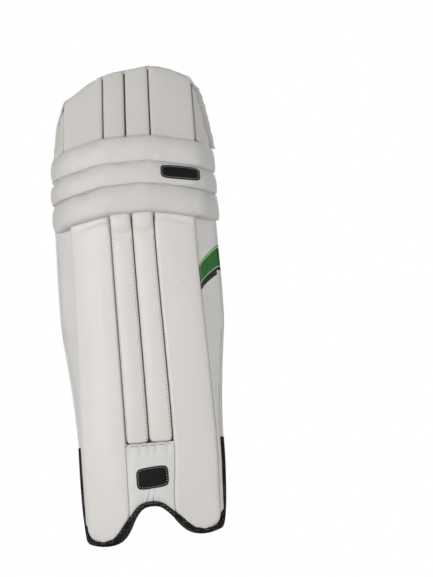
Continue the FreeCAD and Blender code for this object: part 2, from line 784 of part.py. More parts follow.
def knee_back():
    """The board, lining and cup behind the knee rolls, and the white side bindings."""
    low, high = SHIN_TOP + SIDE_GAP / 2, KNEE_TOP - SIDE_GAP / 2
    end = WING_WIDTH - BINDING_WIDTH - LAYER_GAP
    side_front = WING_INNER - LINING_THICK - BOARD_THICK - LAYER_GAP
    board = lining_outline(KNEE_BOARD_FRONT, side_front, BOARD_THICK, end)
    place(prism("knee_board", board, low, high))
    lining = lining_outline(KNEE_LINING_FRONT, WING_LINING_FRONT, LINING_THICK, end)
    place(prism("knee_lining", lining, low, high))
    front, back = KNEE_LINING_BACK + LAYER_GAP, KNEE_LINING_BACK + LAYER_GAP + CUP_THICK
    half = [bend_point(front), wide_point(CUP_REACH, front), wide_point(CUP_REACH, back), bend_point(back)]
    corners = mirrored(list(reversed(half[:2]))) + half + mirrored([half[3], half[2]])
    middle = (low + high) / 2
    cup = prism("knee_cup", corners, low + 10, high - 10)
    dish = cup.newObject("Sketcher::SketchObject", "knee_cup_dish")
    dish.AttachmentSupport = [(plane(cup, "XZ_Plane"), "")]
    dish.MapMode = "FlatFace"
    dish.addGeometry(Part.Circle(FreeCAD.Vector(0, middle.value, 0), FreeCAD.Vector(0, 0, 1), CUP_DISH.value))
    dish.addConstraint(Sketcher.Constraint("DistanceX", -1, 1, 0, 3, 0))
    made = dish.addConstraint(Sketcher.Constraint("DistanceY", -1, 1, 0, 3, middle.value))
    dish.setExpression(f"Constraints[{made}]", middle.text)
    made = dish.addConstraint(Sketcher.Constraint("Radius", 0, CUP_DISH.value))
    dish.setExpression(f"Constraints[{made}]", CUP_DISH.text)
    dish.setExpression(".AttachmentOffset.Base.z", (-(front + CUP_THICK * 0.4)).text)
    before = cup.Shape.Volume
    pocket = cup.newObject("PartDesign::Pocket", "knee_cup_dish_cut")
    pocket.Profile = dish
    pocket.setExpression("Length", CUP_THICK.text)
    doc.recompute()
    if cup.Shape.Volume >= before:
        raise RuntimeError("the kneecap's hollow cut nothing")
    place(cup)
    for name, side in SIDES:
        section = [
            wing_point(end + LAYER_GAP, -ROLL_SIDE + 2),
            wing_point(WING_WIDTH, -ROLL_SIDE + 2),
            wing_point(WING_WIDTH, WING_INNER + BINDING_WRAP),
            wing_point(end + LAYER_GAP, WING_INNER + BINDING_WRAP),
        ]
        place(prism(f"knee_binding_{name}", flip(section, side), low, high))


# --- top hat --------------------------------------------------------------------------------
def hat_wide_point(along, depth):
    return wide_point(size(along), size(depth))


def hat_wing_point(along, depth):
    """A point of the top hat's wing, as wing_point is for the shin's."""
    foot = wide_point(HAT_WIDE + SIDE_GAP, WING_STEP / 2)
    return inward(moved(foot, WING_TILT, size(along)), WING_TILT, size(depth))


def trim_hat_foot(body):
    """Cuts the top hat's foot level."""
    slope = tan(LEAN)
    low = [(-FAR, -FAR * slope), (FAR, FAR * slope), (FAR, -FAR * 2), (-FAR, -FAR * 2)]
    return cut(body, "foot", "YZ_Plane", low)


def hat_top_line(inset):
    """The top hat's upper edge: a slope on the inner side and an arc on the outer side."""
    edge = wide_point(HAT_WIDE, Size(0))[0]
    inner_x, outer_x = HAT_INNER_IN - edge, edge + HAT_OUTER_OUT
    slope = (HAT_PEAK - HAT_INNER) / (HAT_PEAK_X - inner_x)
    return [
        (-FAR, HAT_INNER - inset + slope * (-FAR - inner_x)),
        (HAT_PEAK_X, HAT_PEAK - inset),
        (outer_x, HAT_OUTER - inset),
        (FAR, HAT_OUTER - inset - 60),
    ]


def trim_hat_top(body, inset):
    """Cuts away all that lies above that inset from the top hat's upper edge."""
    corners = hat_top_line(size(inset)) + [(FAR, FAR * 2), (-FAR, FAR * 2)]
    return cut(body, "top", "XZ_Plane", corners, {1: (HAT_CROWN, -1)})


def drop_below_hat_top(body, inset):
    """Cuts away all that lies below that inset from the top hat's upper edge."""
    corners = hat_top_line(size(inset)) + [(FAR, -FAR), (-FAR, -FAR)]
    return cut(body, "below", "XZ_Plane", corners, {1: (HAT_CROWN, -1)})


def hat_back_line(inset):
    """The slanting back edge of the top hat's wings, as two far points in the YZ plane."""
    wide_back = hat_wing_point(HAT_WING, 0)[1]
    narrow_back = hat_wide_point(HAT_WIDE, HAT_THICK + HAT_BOARD + LINING_THICK)[1]
    low = wide_back * tan(LEAN)
    slope = (narrow_back - wide_back) / (HAT_OUTER - low)
    return [
        (wide_back - inset - slope * low - slope * FAR, -FAR),
        (wide_back - inset + slope * (FAR * 2 - low), FAR * 2),
    ]


def trim_hat_back(body, inset):
    """Cuts the top hat's wings on a slant, from full width at the foot to nothing at the top."""
    corners = hat_back_line(size(inset)) + [(FAR * 3, FAR * 2), (FAR * 3, -FAR)]
    return cut(body, "back", "YZ_Plane", corners)


def drop_before_hat_back(body, inset):
    """Cuts away all that lies in front of that inset from the wings' back edge."""
    corners = hat_back_line(size(inset)) + [(-FAR * 3, FAR * 2), (-FAR * 3, -FAR)]
    return cut(body, "front", "YZ_Plane", corners)


def hat_panels():
    """Six padded panels, a board and a lining, all leaning back from the knee's top seam."""
    top = HAT_PEAK + 20
    made = []
    reaching_back = []
    for name, side in SIDES:
        slant = tan(WIDE_TILT / 2)
        half = NARROW_WIDTH - SIDE_GAP / 2
        narrow = [
            (SIDE_GAP / 2, HAT_THICK),
            (SIDE_GAP / 2, Size(0)),
            (half, Size(0)),
            (half - HAT_THICK * slant, HAT_THICK),
        ]
        panel = prism(f"hat_narrow_{name}", flip(narrow, side), Size(0), top)
        fillet(panel, upright_near(flip(narrow[1:3], side)), EDGE_ROUND - 1)
        made.append(panel)
        wide = wide_outline(Size(0), HAT_WIDE, HAT_THICK)
        panel = prism(f"hat_wide_{name}", flip(wide, side), Size(0), top)
        fillet(panel, upright_near(flip(wide[1:3], side)), EDGE_ROUND - 1)
        made.append(panel)
        wing_thick = HAT_THICK - WING_STEP / 2
        back_depth = HAT_THICK + HAT_BOARD + LAYER_GAP
        wall = wide_point(HAT_WIDE + SIDE_GAP, Size(0))
        wing = [
            hat_wing_point(0, 0),
            hat_wing_point(HAT_WING + 8, 0),
            hat_wing_point(HAT_WING + 8, wing_thick),
            meet(hat_wing_point(0, wing_thick), WING_TILT, wall, WIDE_TILT + 90),
        ]
        panel = prism(f"hat_wing_{name}", flip(wing, side), Size(0), top)
        made.append(panel)
        reaching_back.append(panel)
    front, back = HAT_THICK + LAYER_GAP, HAT_THICK + LAYER_GAP + HAT_BOARD
    half = [bend_point(front), wide_point(HAT_WIDE, front), wide_point(HAT_WIDE, back), bend_point(back)]
    corners = mirrored(list(reversed(half[:2]))) + half + mirrored([half[3], half[2]])
    board = prism("hat_board", corners, Size(0), top)
    made.append(board)
    reaching_back.append(board)
    front = back + LAYER_GAP
    back = front + LINING_THICK
    wing_front = HAT_THICK - WING_STEP / 2 + LAYER_GAP
    half_front = [
        bend_point(front),
        meet(hat_wide_point(0, front), WIDE_TILT, hat_wing_point(0, wing_front), WING_TILT),
        hat_wing_point(HAT_WING + 8, wing_front),
    ]
    half_back = [
        bend_point(back),
        meet(hat_wide_point(0, back), WIDE_TILT, hat_wing_point(0, wing_front + LINING_THICK), WING_TILT),
        hat_wing_point(HAT_WING + 8, wing_front + LINING_THICK),
    ]
    corners = mirrored(list(reversed(half_front))) + half_front
    corners += list(reversed(half_back)) + mirrored(half_back)
    lining = prism("hat_lining", corners, Size(0), top)
    made.append(lining)
    reaching_back.append(lining)
    for body in made:
        trim_hat_foot(body)
        trim_hat_top(body, BINDING_WIDTH)
        if body in reaching_back:
            trim_hat_back(body, BINDING_WIDTH)
        place(body, HAT_SET_BACK + CENTRE_Y, KNEE_TOP + SIDE_GAP / 2, LEAN)


def hat_bindings():
    """The white bindings along the top hat's upper edge and down its back edges."""
    front = -BINDING_WRAP
    side_front = -BINDING_WRAP
    back = HAT_THICK + HAT_BOARD + LINING_THICK + LAYER_GAP * 2 + BINDING_WRAP
    side_back = HAT_THICK - WING_STEP / 2 + LAYER_GAP + LINING_THICK + BINDING_WRAP
    high = HAT_PEAK + 20
    end = HAT_WING + 8

    def half(depth, side_depth):
        corner = meet(wide_point(HAT_WIDE, depth), WIDE_TILT, hat_wing_point(0, side_depth), WING_TILT)
        return [bend_point(depth), corner, hat_wing_point(end, side_depth)]

    outer, inner = half(front, side_front), half(back, side_back)
    corners = mirrored(list(reversed(outer))) + outer + list(reversed(inner)) + mirrored(inner)
    made = [prism("hat_binding_top", corners, Size(0), high)]
    trim_hat_top(made[0], 0)
    drop_below_hat_top(made[0], BINDING_WIDTH - LAYER_GAP)
    trim_hat_back(made[0], 0)
    for name, side in SIDES:
        section = [outer[1], outer[2], inner[2], inner[1]]
        binding = prism(f"hat_binding_{name}", flip(section, side), Size(0), high)
        trim_hat_foot(binding)
        trim_hat_top(binding, BINDING_WIDTH)
        trim_hat_back(binding, 0)
        drop_before_hat_back(binding, BINDING_WIDTH - LAYER_GAP)
        made.append(binding)
    for body in made:
        place(body, HAT_SET_BACK + CENTRE_Y, KNEE_TOP + SIDE_GAP / 2, LEAN)


# --- straps ---------------------------------------------------------------------------------
def fillet_turn(body, outer_corner, inner_corner):
    """Rounds both faces of the webbing where it turns across the back of the leg."""
    fillet(body, upright_near([outer_corner]), STRAP_BEND + STRAP_THICK)
    fillet(body, upright_near([inner_corner]), STRAP_BEND)


def strap(name, middle, width, reach):
    """One strap: its sewn root and loop patch on the pad, its band and its hooked end.

    reach is how far along the wings it is fixed.
    """
    low, high = middle - width / 2, middle + width / 2
    back = strap_back(reach)
    straight = Size(0)
    face = WING_INNER + BINDING_WRAP + LAYER_GAP
    root_piece = [
        wing_point(reach - PATCH_LENGTH, face),
        wing_point(reach + HINGE_ROOM - HINGE_GAP, face),
        wing_point(reach + HINGE_ROOM - HINGE_GAP, face + STRAP_THICK),
        wing_point(reach - PATCH_LENGTH, face + STRAP_THICK),
    ]
    place(prism(f"{name}_strap_root", root_piece, low, high))

    turn_out = meet(wing_point(0, face), WING_TILT, (Size(0), back), straight)
    turn_in = meet(
        wing_point(0, face + STRAP_THICK), WING_TILT, (Size(0), back - STRAP_THICK), straight
    )
    band = [
        wing_point(reach + HINGE_ROOM + HINGE_GAP, face),
        turn_out,
        (HINGE_GAP, back),
        (HINGE_GAP, back - STRAP_THICK),
        turn_in,
        wing_point(reach + HINGE_ROOM + HINGE_GAP, face + STRAP_THICK),
    ]
    body = prism(f"{name}_strap_band", band, low, high)
    fillet_turn(body, turn_out, turn_in)
    place(body)

    loop_back = face + HOOK_THICK
    loop = [
        wing_point(reach - PATCH_LENGTH, face),
        wing_point(reach, face),
        wing_point(reach, loop_back),
        wing_point(reach - PATCH_LENGTH, loop_back),
    ]
    inset = Size(1)
    place(prism(f"{name}_strap_loop", mirrored(loop), low + inset, high - inset))

    hook_face = loop_back + LAYER_GAP
    face = hook_face + HOOK_THICK
    turn_out = meet(wing_point(0, face), WING_TILT, (Size(0), back), straight)
    turn_in = meet(
        wing_point(0, face + STRAP_THICK), WING_TILT, (Size(0), back - STRAP_THICK), straight
    )
    end = [
        (HINGE_GAP, back),
        turn_out,
        wing_point(reach, face),
        wing_point(reach, hook_face),
        wing_point(reach - PATCH_LENGTH, hook_face),
        wing_point(reach - PATCH_LENGTH, face + STRAP_THICK),
        turn_in,
        (HINGE_GAP, back - STRAP_THICK),
    ]
    body = prism(f"{name}_strap_end", mirrored(end), low, high)
    fillet_turn(body, *mirrored([turn_out, turn_in]))
    place(body)


def straps():
    strap("knee", KNEE_STRAP, STRAP_WIDTH, WING_WIDTH)
    strap("calf", CALF_STRAP, CALF_WIDTH, WING_WIDTH)
    corner = along_wing(LINING_BACK, WING_INNER + BINDING_WRAP + LAYER_GAP)
    strap("ankle", ANKLE_STRAP, STRAP_WIDTH, corner + ANKLE_CLEAR + PATCH_LENGTH)


shin_panels()
canes()
instep()
shin_boards()
wings()
shin_lining()
inner_bolsters()
shin_bindings()
knee_rolls()
knee_back()
hat_panels()
hat_bindings()
straps()

doc.recompute()
os.makedirs("parts", exist_ok=True)
for item in doc.Objects:
    if "Invalid" in item.State or "Error" in item.State:
        raise RuntimeError(f"{item.Label} is {item.State}")
for piece in PIECES:
    if piece.Shape.isNull() or not piece.Shape.isValid() or not piece.Shape.Solids:
        raise RuntimeError(f"{piece.Label} has no valid solid")
for piece in PIECES:
    piece.Shape.exportStep(f"parts/{piece.Label}.step")
    box = piece.Shape.BoundBox
    print(f"{piece.Label}: {len(piece.Shape.Solids)} solids, {box.XLength:.1f} x {box.YLength:.1f} x {box.ZLength:.1f}")
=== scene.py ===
import math

import bpy
import mathutils
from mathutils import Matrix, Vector, noise


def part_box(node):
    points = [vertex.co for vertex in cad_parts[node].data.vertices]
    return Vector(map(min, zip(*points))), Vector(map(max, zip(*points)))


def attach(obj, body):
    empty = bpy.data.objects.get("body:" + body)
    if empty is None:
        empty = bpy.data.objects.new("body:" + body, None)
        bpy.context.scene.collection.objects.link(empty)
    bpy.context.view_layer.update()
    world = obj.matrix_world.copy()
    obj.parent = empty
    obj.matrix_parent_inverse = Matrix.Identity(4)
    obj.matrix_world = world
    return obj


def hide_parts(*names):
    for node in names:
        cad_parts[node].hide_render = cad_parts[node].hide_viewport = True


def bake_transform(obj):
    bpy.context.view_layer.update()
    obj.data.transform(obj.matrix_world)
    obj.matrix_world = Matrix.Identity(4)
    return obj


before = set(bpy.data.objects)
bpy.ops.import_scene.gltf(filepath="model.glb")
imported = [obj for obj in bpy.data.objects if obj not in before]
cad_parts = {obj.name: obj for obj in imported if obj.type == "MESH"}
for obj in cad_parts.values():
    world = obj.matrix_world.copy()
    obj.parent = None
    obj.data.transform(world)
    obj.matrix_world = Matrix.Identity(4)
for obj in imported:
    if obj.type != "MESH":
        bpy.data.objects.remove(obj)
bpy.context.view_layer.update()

MM = 0.001

# --- sizes of the pad, in metres -----------------------------------------------------------------
FRONT_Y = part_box("narrow_cover_right")[0].y
NARROW = 32 * MM
WIDE = 62.5 * MM
WIDE_TILT = math.radians(18)
WING = 50 * MM
WING_TILT = math.radians(66)
WING_STEP = 8 * MM
SIDE_GAP = 0.6 * MM
SHIN_TOP = 473 * MM
KNEE_TOP = 576 * MM
LEAN = math.radians(26)
HAT_FOOT = Vector((0, FRONT_Y + 10 * MM, KNEE_TOP))
LINING_DEPTH = 27.6 * MM
SHIN_MIDDLE_Y = 45 * MM
WEBBING_EDGE = 0.7 * MM
WING_LINING = 14.3 * MM


# --- places round the leg, seen from above -------------------------------------------------------
def wide_point(along, depth):
    c, s = math.cos(WIDE_TILT), math.sin(WIDE_TILT)
    return Vector((NARROW + along * c - depth * s, FRONT_Y + along * s + depth * c))


def wing_point(along, depth):
    c, s = math.cos(WING_TILT), math.sin(WING_TILT)
    foot = wide_point(WIDE + SIDE_GAP, WING_STEP)
    return Vector((foot.x + along * c - depth * s, foot.y + along * s + depth * c))


def bend_point(depth):
    return Vector((NARROW - depth * math.tan(WIDE_TILT / 2), FRONT_Y + depth))


def wing_corner(panel_depth, depth):
    p, q = wide_point(0, panel_depth), wing_point(0, depth)
    a, b = WIDE_TILT, WING_TILT
    reach = ((q.x - p.x) * math.sin(b) - (q.y - p.y) * math.cos(b)) / math.sin(b - a)
    return Vector((p.x + reach * math.cos(a), p.y + reach * math.sin(a)))


class LegLine:
    """A line round the leg from wing to wing, with rounded corners.

    Distances along it are measured from the middle of the pad, and are positive towards +X.
    """

    def __init__(self, half, radii):
        corners = [Vector((-p.x, p.y)) for p in reversed(half)] + list(half)
        bends = list(reversed(radii)) + list(radii)
        dense = [corners[0]]
        for i in range(1, len(corners) - 1):
            dense += self.rounded(corners[i - 1], corners[i], corners[i + 1], bends[i - 1])
        dense.append(corners[-1])
        self.points, lengths = [dense[0]], [0.0]
        for a, b in zip(dense, dense[1:]):
            steps = max(1, round((b - a).length / MM))
            for k in range(1, steps + 1):
                point = a.lerp(b, k / steps)
                lengths.append(lengths[-1] + (point - self.points[-1]).length)
                self.points.append(point)
        self.half_length = lengths[-1] / 2
        self.at_length = [value - self.half_length for value in lengths]

    @staticmethod
    def rounded(before, corner, after, radius):
        into, out = (corner - before).normalized(), (after - corner).normalized()
        turn = into.angle(out)
        cut = radius * math.tan(turn / 2)
        start, end = corner - into * cut, corner + out * cut
        points = []
        for k in range(13):
            share = k / 12
            a, b = start.lerp(corner, share), corner.lerp(end, share)
            points.append(a.lerp(b, share))
        return points

    def at(self, along, depth=0.0):
        """The place at that distance along the line and that depth into the leg's side."""
        low, high = 0, len(self.points) - 1
        while high - low > 1:
            middle = (low + high) // 2
            if self.at_length[middle] <= along:
                low = middle
            else:
                high = middle
        span = self.at_length[high] - self.at_length[low]
        share = (along - self.at_length[low]) / span
        place = self.points[low].lerp(self.points[high], share)
        first, last = max(0, low - 3), min(len(self.points) - 1, high + 3)
        way = (self.points[last] - self.points[first]).normalized()
        return Vector((place.x - way.y * depth, place.y + way.x * depth))


def leg_line(panel_depth, wing_depth, end, radii=(0.06, 0.02)):
    return LegLine(
        [bend_point(panel_depth), wing_corner(panel_depth, wing_depth), wing_point(end, wing_depth)],
        radii,
    )


def foot_height(x, inset=0.0):
    """The height of the foot's edge at that place across the pad."""
    notch_top, notch_r, lobe_r, lobe_x = 55 * MM, 22 * MM + inset, 31 * MM - inset, 66 * MM
    notch_z = notch_top - 22 * MM
    lobe_z = 31 * MM + (8 * MM if x > 0 else 0)
    x = abs(x)
    apart = math.hypot(lobe_x, lobe_z - notch_z)
    along = 53 * MM / apart
    across = math.sqrt(1 - along * along)
    ux, uz = lobe_x / apart, (lobe_z - notch_z) / apart
    mx, mz = along * ux - across * uz, along * uz + across * ux
    notch_end = Vector((notch_r * mx, notch_z + notch_r * mz))
    lobe_start = Vector((lobe_x - lobe_r * mx, lobe_z - lobe_r * mz))
    if x <= notch_end.x:
        return notch_z + math.sqrt(max(notch_r**2 - x * x, 0))
    if x <= lobe_start.x:
        share = (x - notch_end.x) / (lobe_start.x - notch_end.x)
        return notch_end.y + (lobe_start.y - notch_end.y) * share
    if x >= lobe_x + lobe_r:
        return lobe_z
    return lobe_z - math.sqrt(max(lobe_r**2 - (x - lobe_x) ** 2, 0))


def smooth(value, low, high):
    """0 below low, 1 above high and a smooth rise between them."""
    share = min(1.0, max(0.0, (value - low) / (high - low)))
    return share * share * (3 - 2 * share)


def between(value, pairs):
    """Follows straight lines between (place, amount) pairs."""
    if value <= pairs[0][0]:
        return pairs[0][1]
    for (low, first), (high, second) in zip(pairs, pairs[1:]):
        if value <= high:
            return first + (second - first) * (value - low) / (high - low)
    return pairs[-1][1]


def droop(x):
    """How far the knee rolls' seams hang down towards the sides."""
    return 10 * MM * smooth(abs(x), 25 * MM, 108 * MM)


def belly(point):
    """The shin's sides: plump beside the calf, narrow at the ankle."""
    side, x = math.copysign(1, point.x), abs(point.x)
    panel = 5 * MM * (1 - smooth(point.z, 100 * MM, 430 * MM)) * smooth(x, 40 * MM, 90 * MM)
    wing = between(point.z / MM, [
        (20, -10), (60, -7), (150, -6), (235, 3), (300, 8.5), (360, 9.5), (465, 8),
    ])
    out = smooth(x, 91 * MM, 107 * MM)
    shift = panel * (1 - out) + (wing - (1.8 if side < 0 and point.z < 160 * MM else 0)) * MM * out
    return point + Vector((side * shift + valley_shift(point), 0, 0))


def valley_shift(point):
    """The shin's valleys sit a little to the outer side, most of all lower down."""
    across = between(point.x / MM, [(-92, 0), (-32, 1), (0, 2.6), (32, 5.5), (92, 2), (112, 0)])
    low = smooth(point.z, 50 * MM, 130 * MM) * (1 - 0.75 * smooth(point.z, 150 * MM, 450 * MM))
    return across * MM * low


def hat_place(point):
    """How deep into the leaning top hat a point is, and how far up its slope."""
    c, s = math.cos(LEAN), math.sin(LEAN)
    dy, dz = point.y - HAT_FOOT.y, point.z - HAT_FOOT.z
    return dy * c - dz * s, dy * s + dz * c


def hat_shape(point):
    """The top hat spreads at its foot and has a full, rounded inner shoulder."""
    c, s = math.cos(LEAN), math.sin(LEAN)
    deep, rise = hat_place(point)
    side, x = math.copysign(1, point.x), abs(point.x)
    wider = (1.072 if side > 0 else 1.052) - 0.02 * smooth(rise, 0, 120 * MM)
    flare = 3.2 * MM * smooth(x, 90 * MM, 104 * MM) * (1 - smooth(rise, 20 * MM, 120 * MM))
    lift = between(point.x / MM, [
        (-112, -4), (-104, 0), (-97, 4), (-86, 8), (-60, 13), (-36, 12.5), (-16, 9.5), (-2, 5),
        (10, 1), (24, 0), (90, 0), (98, 3.5), (112, 3.5),
    ])
    rise += lift * MM * smooth(rise, 15 * MM, 85 * MM)
    outer = between(point.x / MM, [(8, 0), (33, 3), (92, 4), (100, 6.5), (112, 7)]) * MM
    corner = (3 if side < 0 else 9) * MM * smooth(x, 92 * MM, 106 * MM)
    hang = (droop(x) + corner) * (1 - smooth(rise, 0, 90 * MM))
    return Vector((
        side * (x * wider + (flare if side > 0 else 0.2 * flare)) + outer,
        HAT_FOOT.y + deep * c + rise * s,
        HAT_FOOT.z + rise * c - deep * s - hang,
    ))


# --- modelling helpers ---------------------------------------------------------------------------
def pick(piece):
    """Selects one piece alone and makes it the active one."""
    bpy.ops.object.select_all(action="DESELECT")
    piece.select_set(True)
    bpy.context.view_layer.objects.active = piece


def apply(piece, kind, **settings):
    """Adds a modifier with these settings and applies it."""
    pick(piece)
    modifier = piece.modifiers.new(kind.lower(), kind)
    for name, value in settings.items():
        setattr(modifier, name, value)
    bpy.ops.object.modifier_apply(modifier=modifier.name)


def copy_of(node, name):
    """A new piece with a CAD node's shape, its loose triangles joined up."""
    piece = bpy.data.objects.new(name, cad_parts[node].data.copy())
    bpy.context.scene.collection.objects.link(piece)
    piece.data.materials.clear()
    pick(piece)
    bpy.ops.object.mode_set(mode="EDIT")
    bpy.ops.mesh.select_all(action="SELECT")
    bpy.ops.mesh.remove_doubles(threshold=0.00002)
    bpy.ops.object.mode_set(mode="OBJECT")
    return piece


def edit_all(piece, *steps):
    """Runs edit-mode operators on the whole of a piece. Each step is (operator, settings)."""
    pick(piece)
    bpy.ops.object.mode_set(mode="EDIT")
    bpy.ops.mesh.select_all(action="SELECT")
    for operator, settings in steps:
        operator(**settings)
    bpy.ops.object.mode_set(mode="OBJECT")


def shape(piece, move):
    """Moves every point of a piece to move(point)."""
    for vertex in piece.data.vertices:
        vertex.co = move(vertex.co.copy())
    piece.data.update()


def finish(piece, material, body, angle=180):
    pick(piece)
    bpy.ops.object.shade_smooth_by_angle(angle=math.radians(angle))
    piece.data.materials.clear()
    piece.data.materials.append(material)
    if body:
        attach(piece, body)
    return piece


def grid(name, columns, rows, place):
    """A sheet of columns by rows faces, each point at place(u, v) with u and v from 0 to 1."""
    bpy.ops.object.select_all(action="DESELECT")
    bpy.ops.mesh.primitive_grid_add(x_subdivisions=columns, y_subdivisions=rows, size=1)
    piece = bpy.context.active_object
    piece.name = piece.data.name = name
    shape(piece, lambda p: place(min(1, max(0, p.x + 0.5)), min(1, max(0, p.y + 0.5))))
    return piece


def block(name, cuts, place):
    """A closed block whose points go to place(a, b, c), with each of a, b and c from -1 to 1."""
    bpy.ops.object.select_all(action="DESELECT")
    bpy.ops.mesh.primitive_cube_add(size=2)
    piece = bpy.context.active_object
    piece.name = piece.data.name = name
    mesh = piece.data
    for axis, number in enumerate(cuts):
        pick(piece)
        bpy.ops.object.mode_set(mode="EDIT")
        for k in range(1, number):
            bpy.ops.mesh.select_all(action="SELECT")
            centre, normal = [0, 0, 0], [0, 0, 0]
            centre[axis] = -1 + 2 * k / number
            normal[axis] = 1
            bpy.ops.mesh.bisect(plane_co=centre, plane_no=normal)
        bpy.ops.object.mode_set(mode="OBJECT")
    shape(piece, lambda p: place(p.x, p.y, p.z))
    return piece


STUFFING_PRESSURE = 4.0
STUFFING_STEPS = 20


def stuff(piece, voxel, cap, front, soften=5):
    """Remeshes a cover, holds its sides and back, and lets the stuffing push its front out.

    front is the way the piece faces, or a rule that gives it for a point. No point moves by more
    than cap.
    """
    facing = front if callable(front) else lambda point: front
    edit_all(piece, (bpy.ops.mesh.normals_make_consistent, {"inside": False}))
    apply(piece, "REMESH", mode="VOXEL", voxel_size=voxel, adaptivity=0)
    group = piece.vertex_groups.new(name="sewn")
    rest = []
    for vertex in piece.data.vertices:
        way = facing(vertex.co).normalized()
        free = smooth(vertex.normal.dot(way), 0.45, 0.9)
        group.add([vertex.index], 1 - free, "REPLACE")
        vertex.co -= way * cap * 0.7 * free
        rest.append(vertex.co.copy())
    cloth = piece.modifiers.new("stuffing", "CLOTH")
    cloth.settings.use_pressure = True
    cloth.settings.uniform_pressure_force = STUFFING_PRESSURE
    cloth.settings.effector_weights.gravity = 0
    cloth.settings.vertex_group_mass = "sewn"
    cloth.point_cache.frame_start = 1
    cloth.point_cache.frame_end = STUFFING_STEPS
    for step in range(1, STUFFING_STEPS + 1):
        bpy.context.scene.frame_set(step)
    pick(piece)
    bpy.ops.object.modifier_apply(modifier="stuffing")
    bpy.context.scene.frame_set(1)
    for vertex, start in zip(piece.data.vertices, rest):
        moved = vertex.co - start
        if moved.length > cap:
            vertex.co = start + moved.normalized() * cap
    piece.vertex_groups.clear()
    apply(piece, "SMOOTH", factor=0.5, iterations=soften)
    apply(piece, "SUBSURF", levels=1, render_levels=1)


def ribbon(name, stations, wide, thick):
    """A folded tape along stations of (edge point, way in from the edge, way out of the face).

    thick is its depth, or a rule that gives it for an edge point.
    """
    last = len(stations) - 1

    def place(a, b, c):
        edge, inward, outward = stations[round((a + 1) / 2 * last)]
        out, up = squared(b, c, 0.6)
        deep = thick(edge) if callable(thick) else thick
        return edge + inward * ((up + 1) * wide / 2) + outward * (out * deep / 2)

    piece = block(name, (last, 3, 4), place)
    edit_all(piece, (bpy.ops.mesh.normals_make_consistent, {"inside": False}))
    return piece


def squared(p, q, round_off=0.75):
    """Turns a square's point into a rounded one."""
    full = math.sqrt(1 - round_off * 0.175)
    return (
        p * math.sqrt(1 - round_off * q * q / 2) / full,
        q * math.sqrt(1 - round_off * p * p / 2) / full,
    )


def rounded(p, q, power=5):
    """Turns a square's point into that of a tab with rounded corners."""
    full = max(abs(p), abs(q))
    if full == 0:
        return 0.0, 0.0
    scale = full / (abs(p) ** power + abs(q) ** power) ** (1 / power)
    return p * scale, q * scale


def sew(name, piece, path, material, body, length, gap, thick):
    """A row of stitches on a piece's surface along a path of points."""
    bpy.ops.object.select_all(action="DESELECT")
    bpy.ops.mesh.primitive_uv_sphere_add(segments=6, ring_count=4, radius=1)
    pattern = bpy.context.active_object
    edit_all(pattern, (bpy.ops.transform.resize, {"value": (length / 2, thick, thick)}))
    made, waited, laid = [pattern], 0.0, False
    for a, b in zip(path, path[1:]):
        reach = (b - a).length
        if reach == 0:
            continue
        while waited <= reach:
            hit, place, normal, _ = piece.closest_point_on_mesh(a.lerp(b, waited / reach))
            way = (b - a).normalized()
            way = (way - normal * way.dot(normal)).normalized()
            side = normal.cross(way)
            turn = mathutils.Matrix((way, side, normal)).transposed()
            stitch = pattern if not laid else pattern.copy()
            if laid:
                stitch.data = source.copy()
                bpy.context.scene.collection.objects.link(stitch)
                made.append(stitch)
            else:
                source = pattern.data.copy()
            laid = True
            for vertex in stitch.data.vertices:
                vertex.co = turn @ vertex.co + place
            waited += length + gap
        waited -= reach
    pick(pattern)
    for stitch in made:
        stitch.select_set(True)
    bpy.ops.object.join()
    pattern.name = pattern.data.name = name
    finish(pattern, material, body)
    return pattern


# --- materials -----------------------------------------------------------------------------------
def new_material(name, colour, roughness, **shader_values):
    material = bpy.data.materials.new(name)
    material.use_nodes = True
    shader = material.node_tree.nodes["Principled BSDF"]
    shader.inputs["Base Color"].default_value = (*colour, 1)
    shader.inputs["Roughness"].default_value = roughness
    for key, value in shader_values.items():
        shader.inputs[key.replace("_", " ")].default_value = value
    return material, material.node_tree, shader


def node(tree, kind, inputs=None, **settings):
    made = tree.nodes.new(kind)
    for key, value in settings.items():
        setattr(made, key, value)
    for key, value in (inputs or {}).items():
        socket = made.inputs[key]
        if isinstance(value, bpy.types.NodeSocket):
            tree.links.new(value, socket)
        else:
            socket.default_value = value
    return made


def object_place(tree, scale=(1, 1, 1)):
    place = node(tree, "ShaderNodeTexCoord").outputs["Object"]
    return node(tree, "ShaderNodeMapping", {"Vector": place, "Scale": scale}).outputs["Vector"]


def maths(tree, operation, a, b=0.0, c=0.0):
    return node(tree, "ShaderNodeMath", {0: a, 1: b, 2: c}, operation=operation).outputs[0]


def blend_colour(tree, share, first, second):
    made = node(tree, "ShaderNodeMix", {"Factor": share}, data_type="RGBA")
    for index, value in ((6, first), (7, second)):
        if isinstance(value, bpy.types.NodeSocket):
            tree.links.new(value, made.inputs[index])
        else:
            made.inputs[index].default_value = (*value, 1)
    return made.outputs[2]


def noise_at(tree, place, scale, detail=3.0, roughness=0.5):
    return node(
        tree, "ShaderNodeTexNoise",
        {"Vector": place, "Scale": scale, "Detail": detail, "Roughness": roughness},
    ).outputs["Fac"]


def bump(tree, shader, height, distance, strength=1.0, below=None):
    made = node(
        tree, "ShaderNodeBump",
        {"Height": height, "Distance": distance, "Strength": strength},
    )
    if below is not None:
        tree.links.new(below, made.inputs["Normal"])
    tree.links.new(made.outputs["Normal"], shader.inputs["Normal"])
    return made.outputs["Normal"]


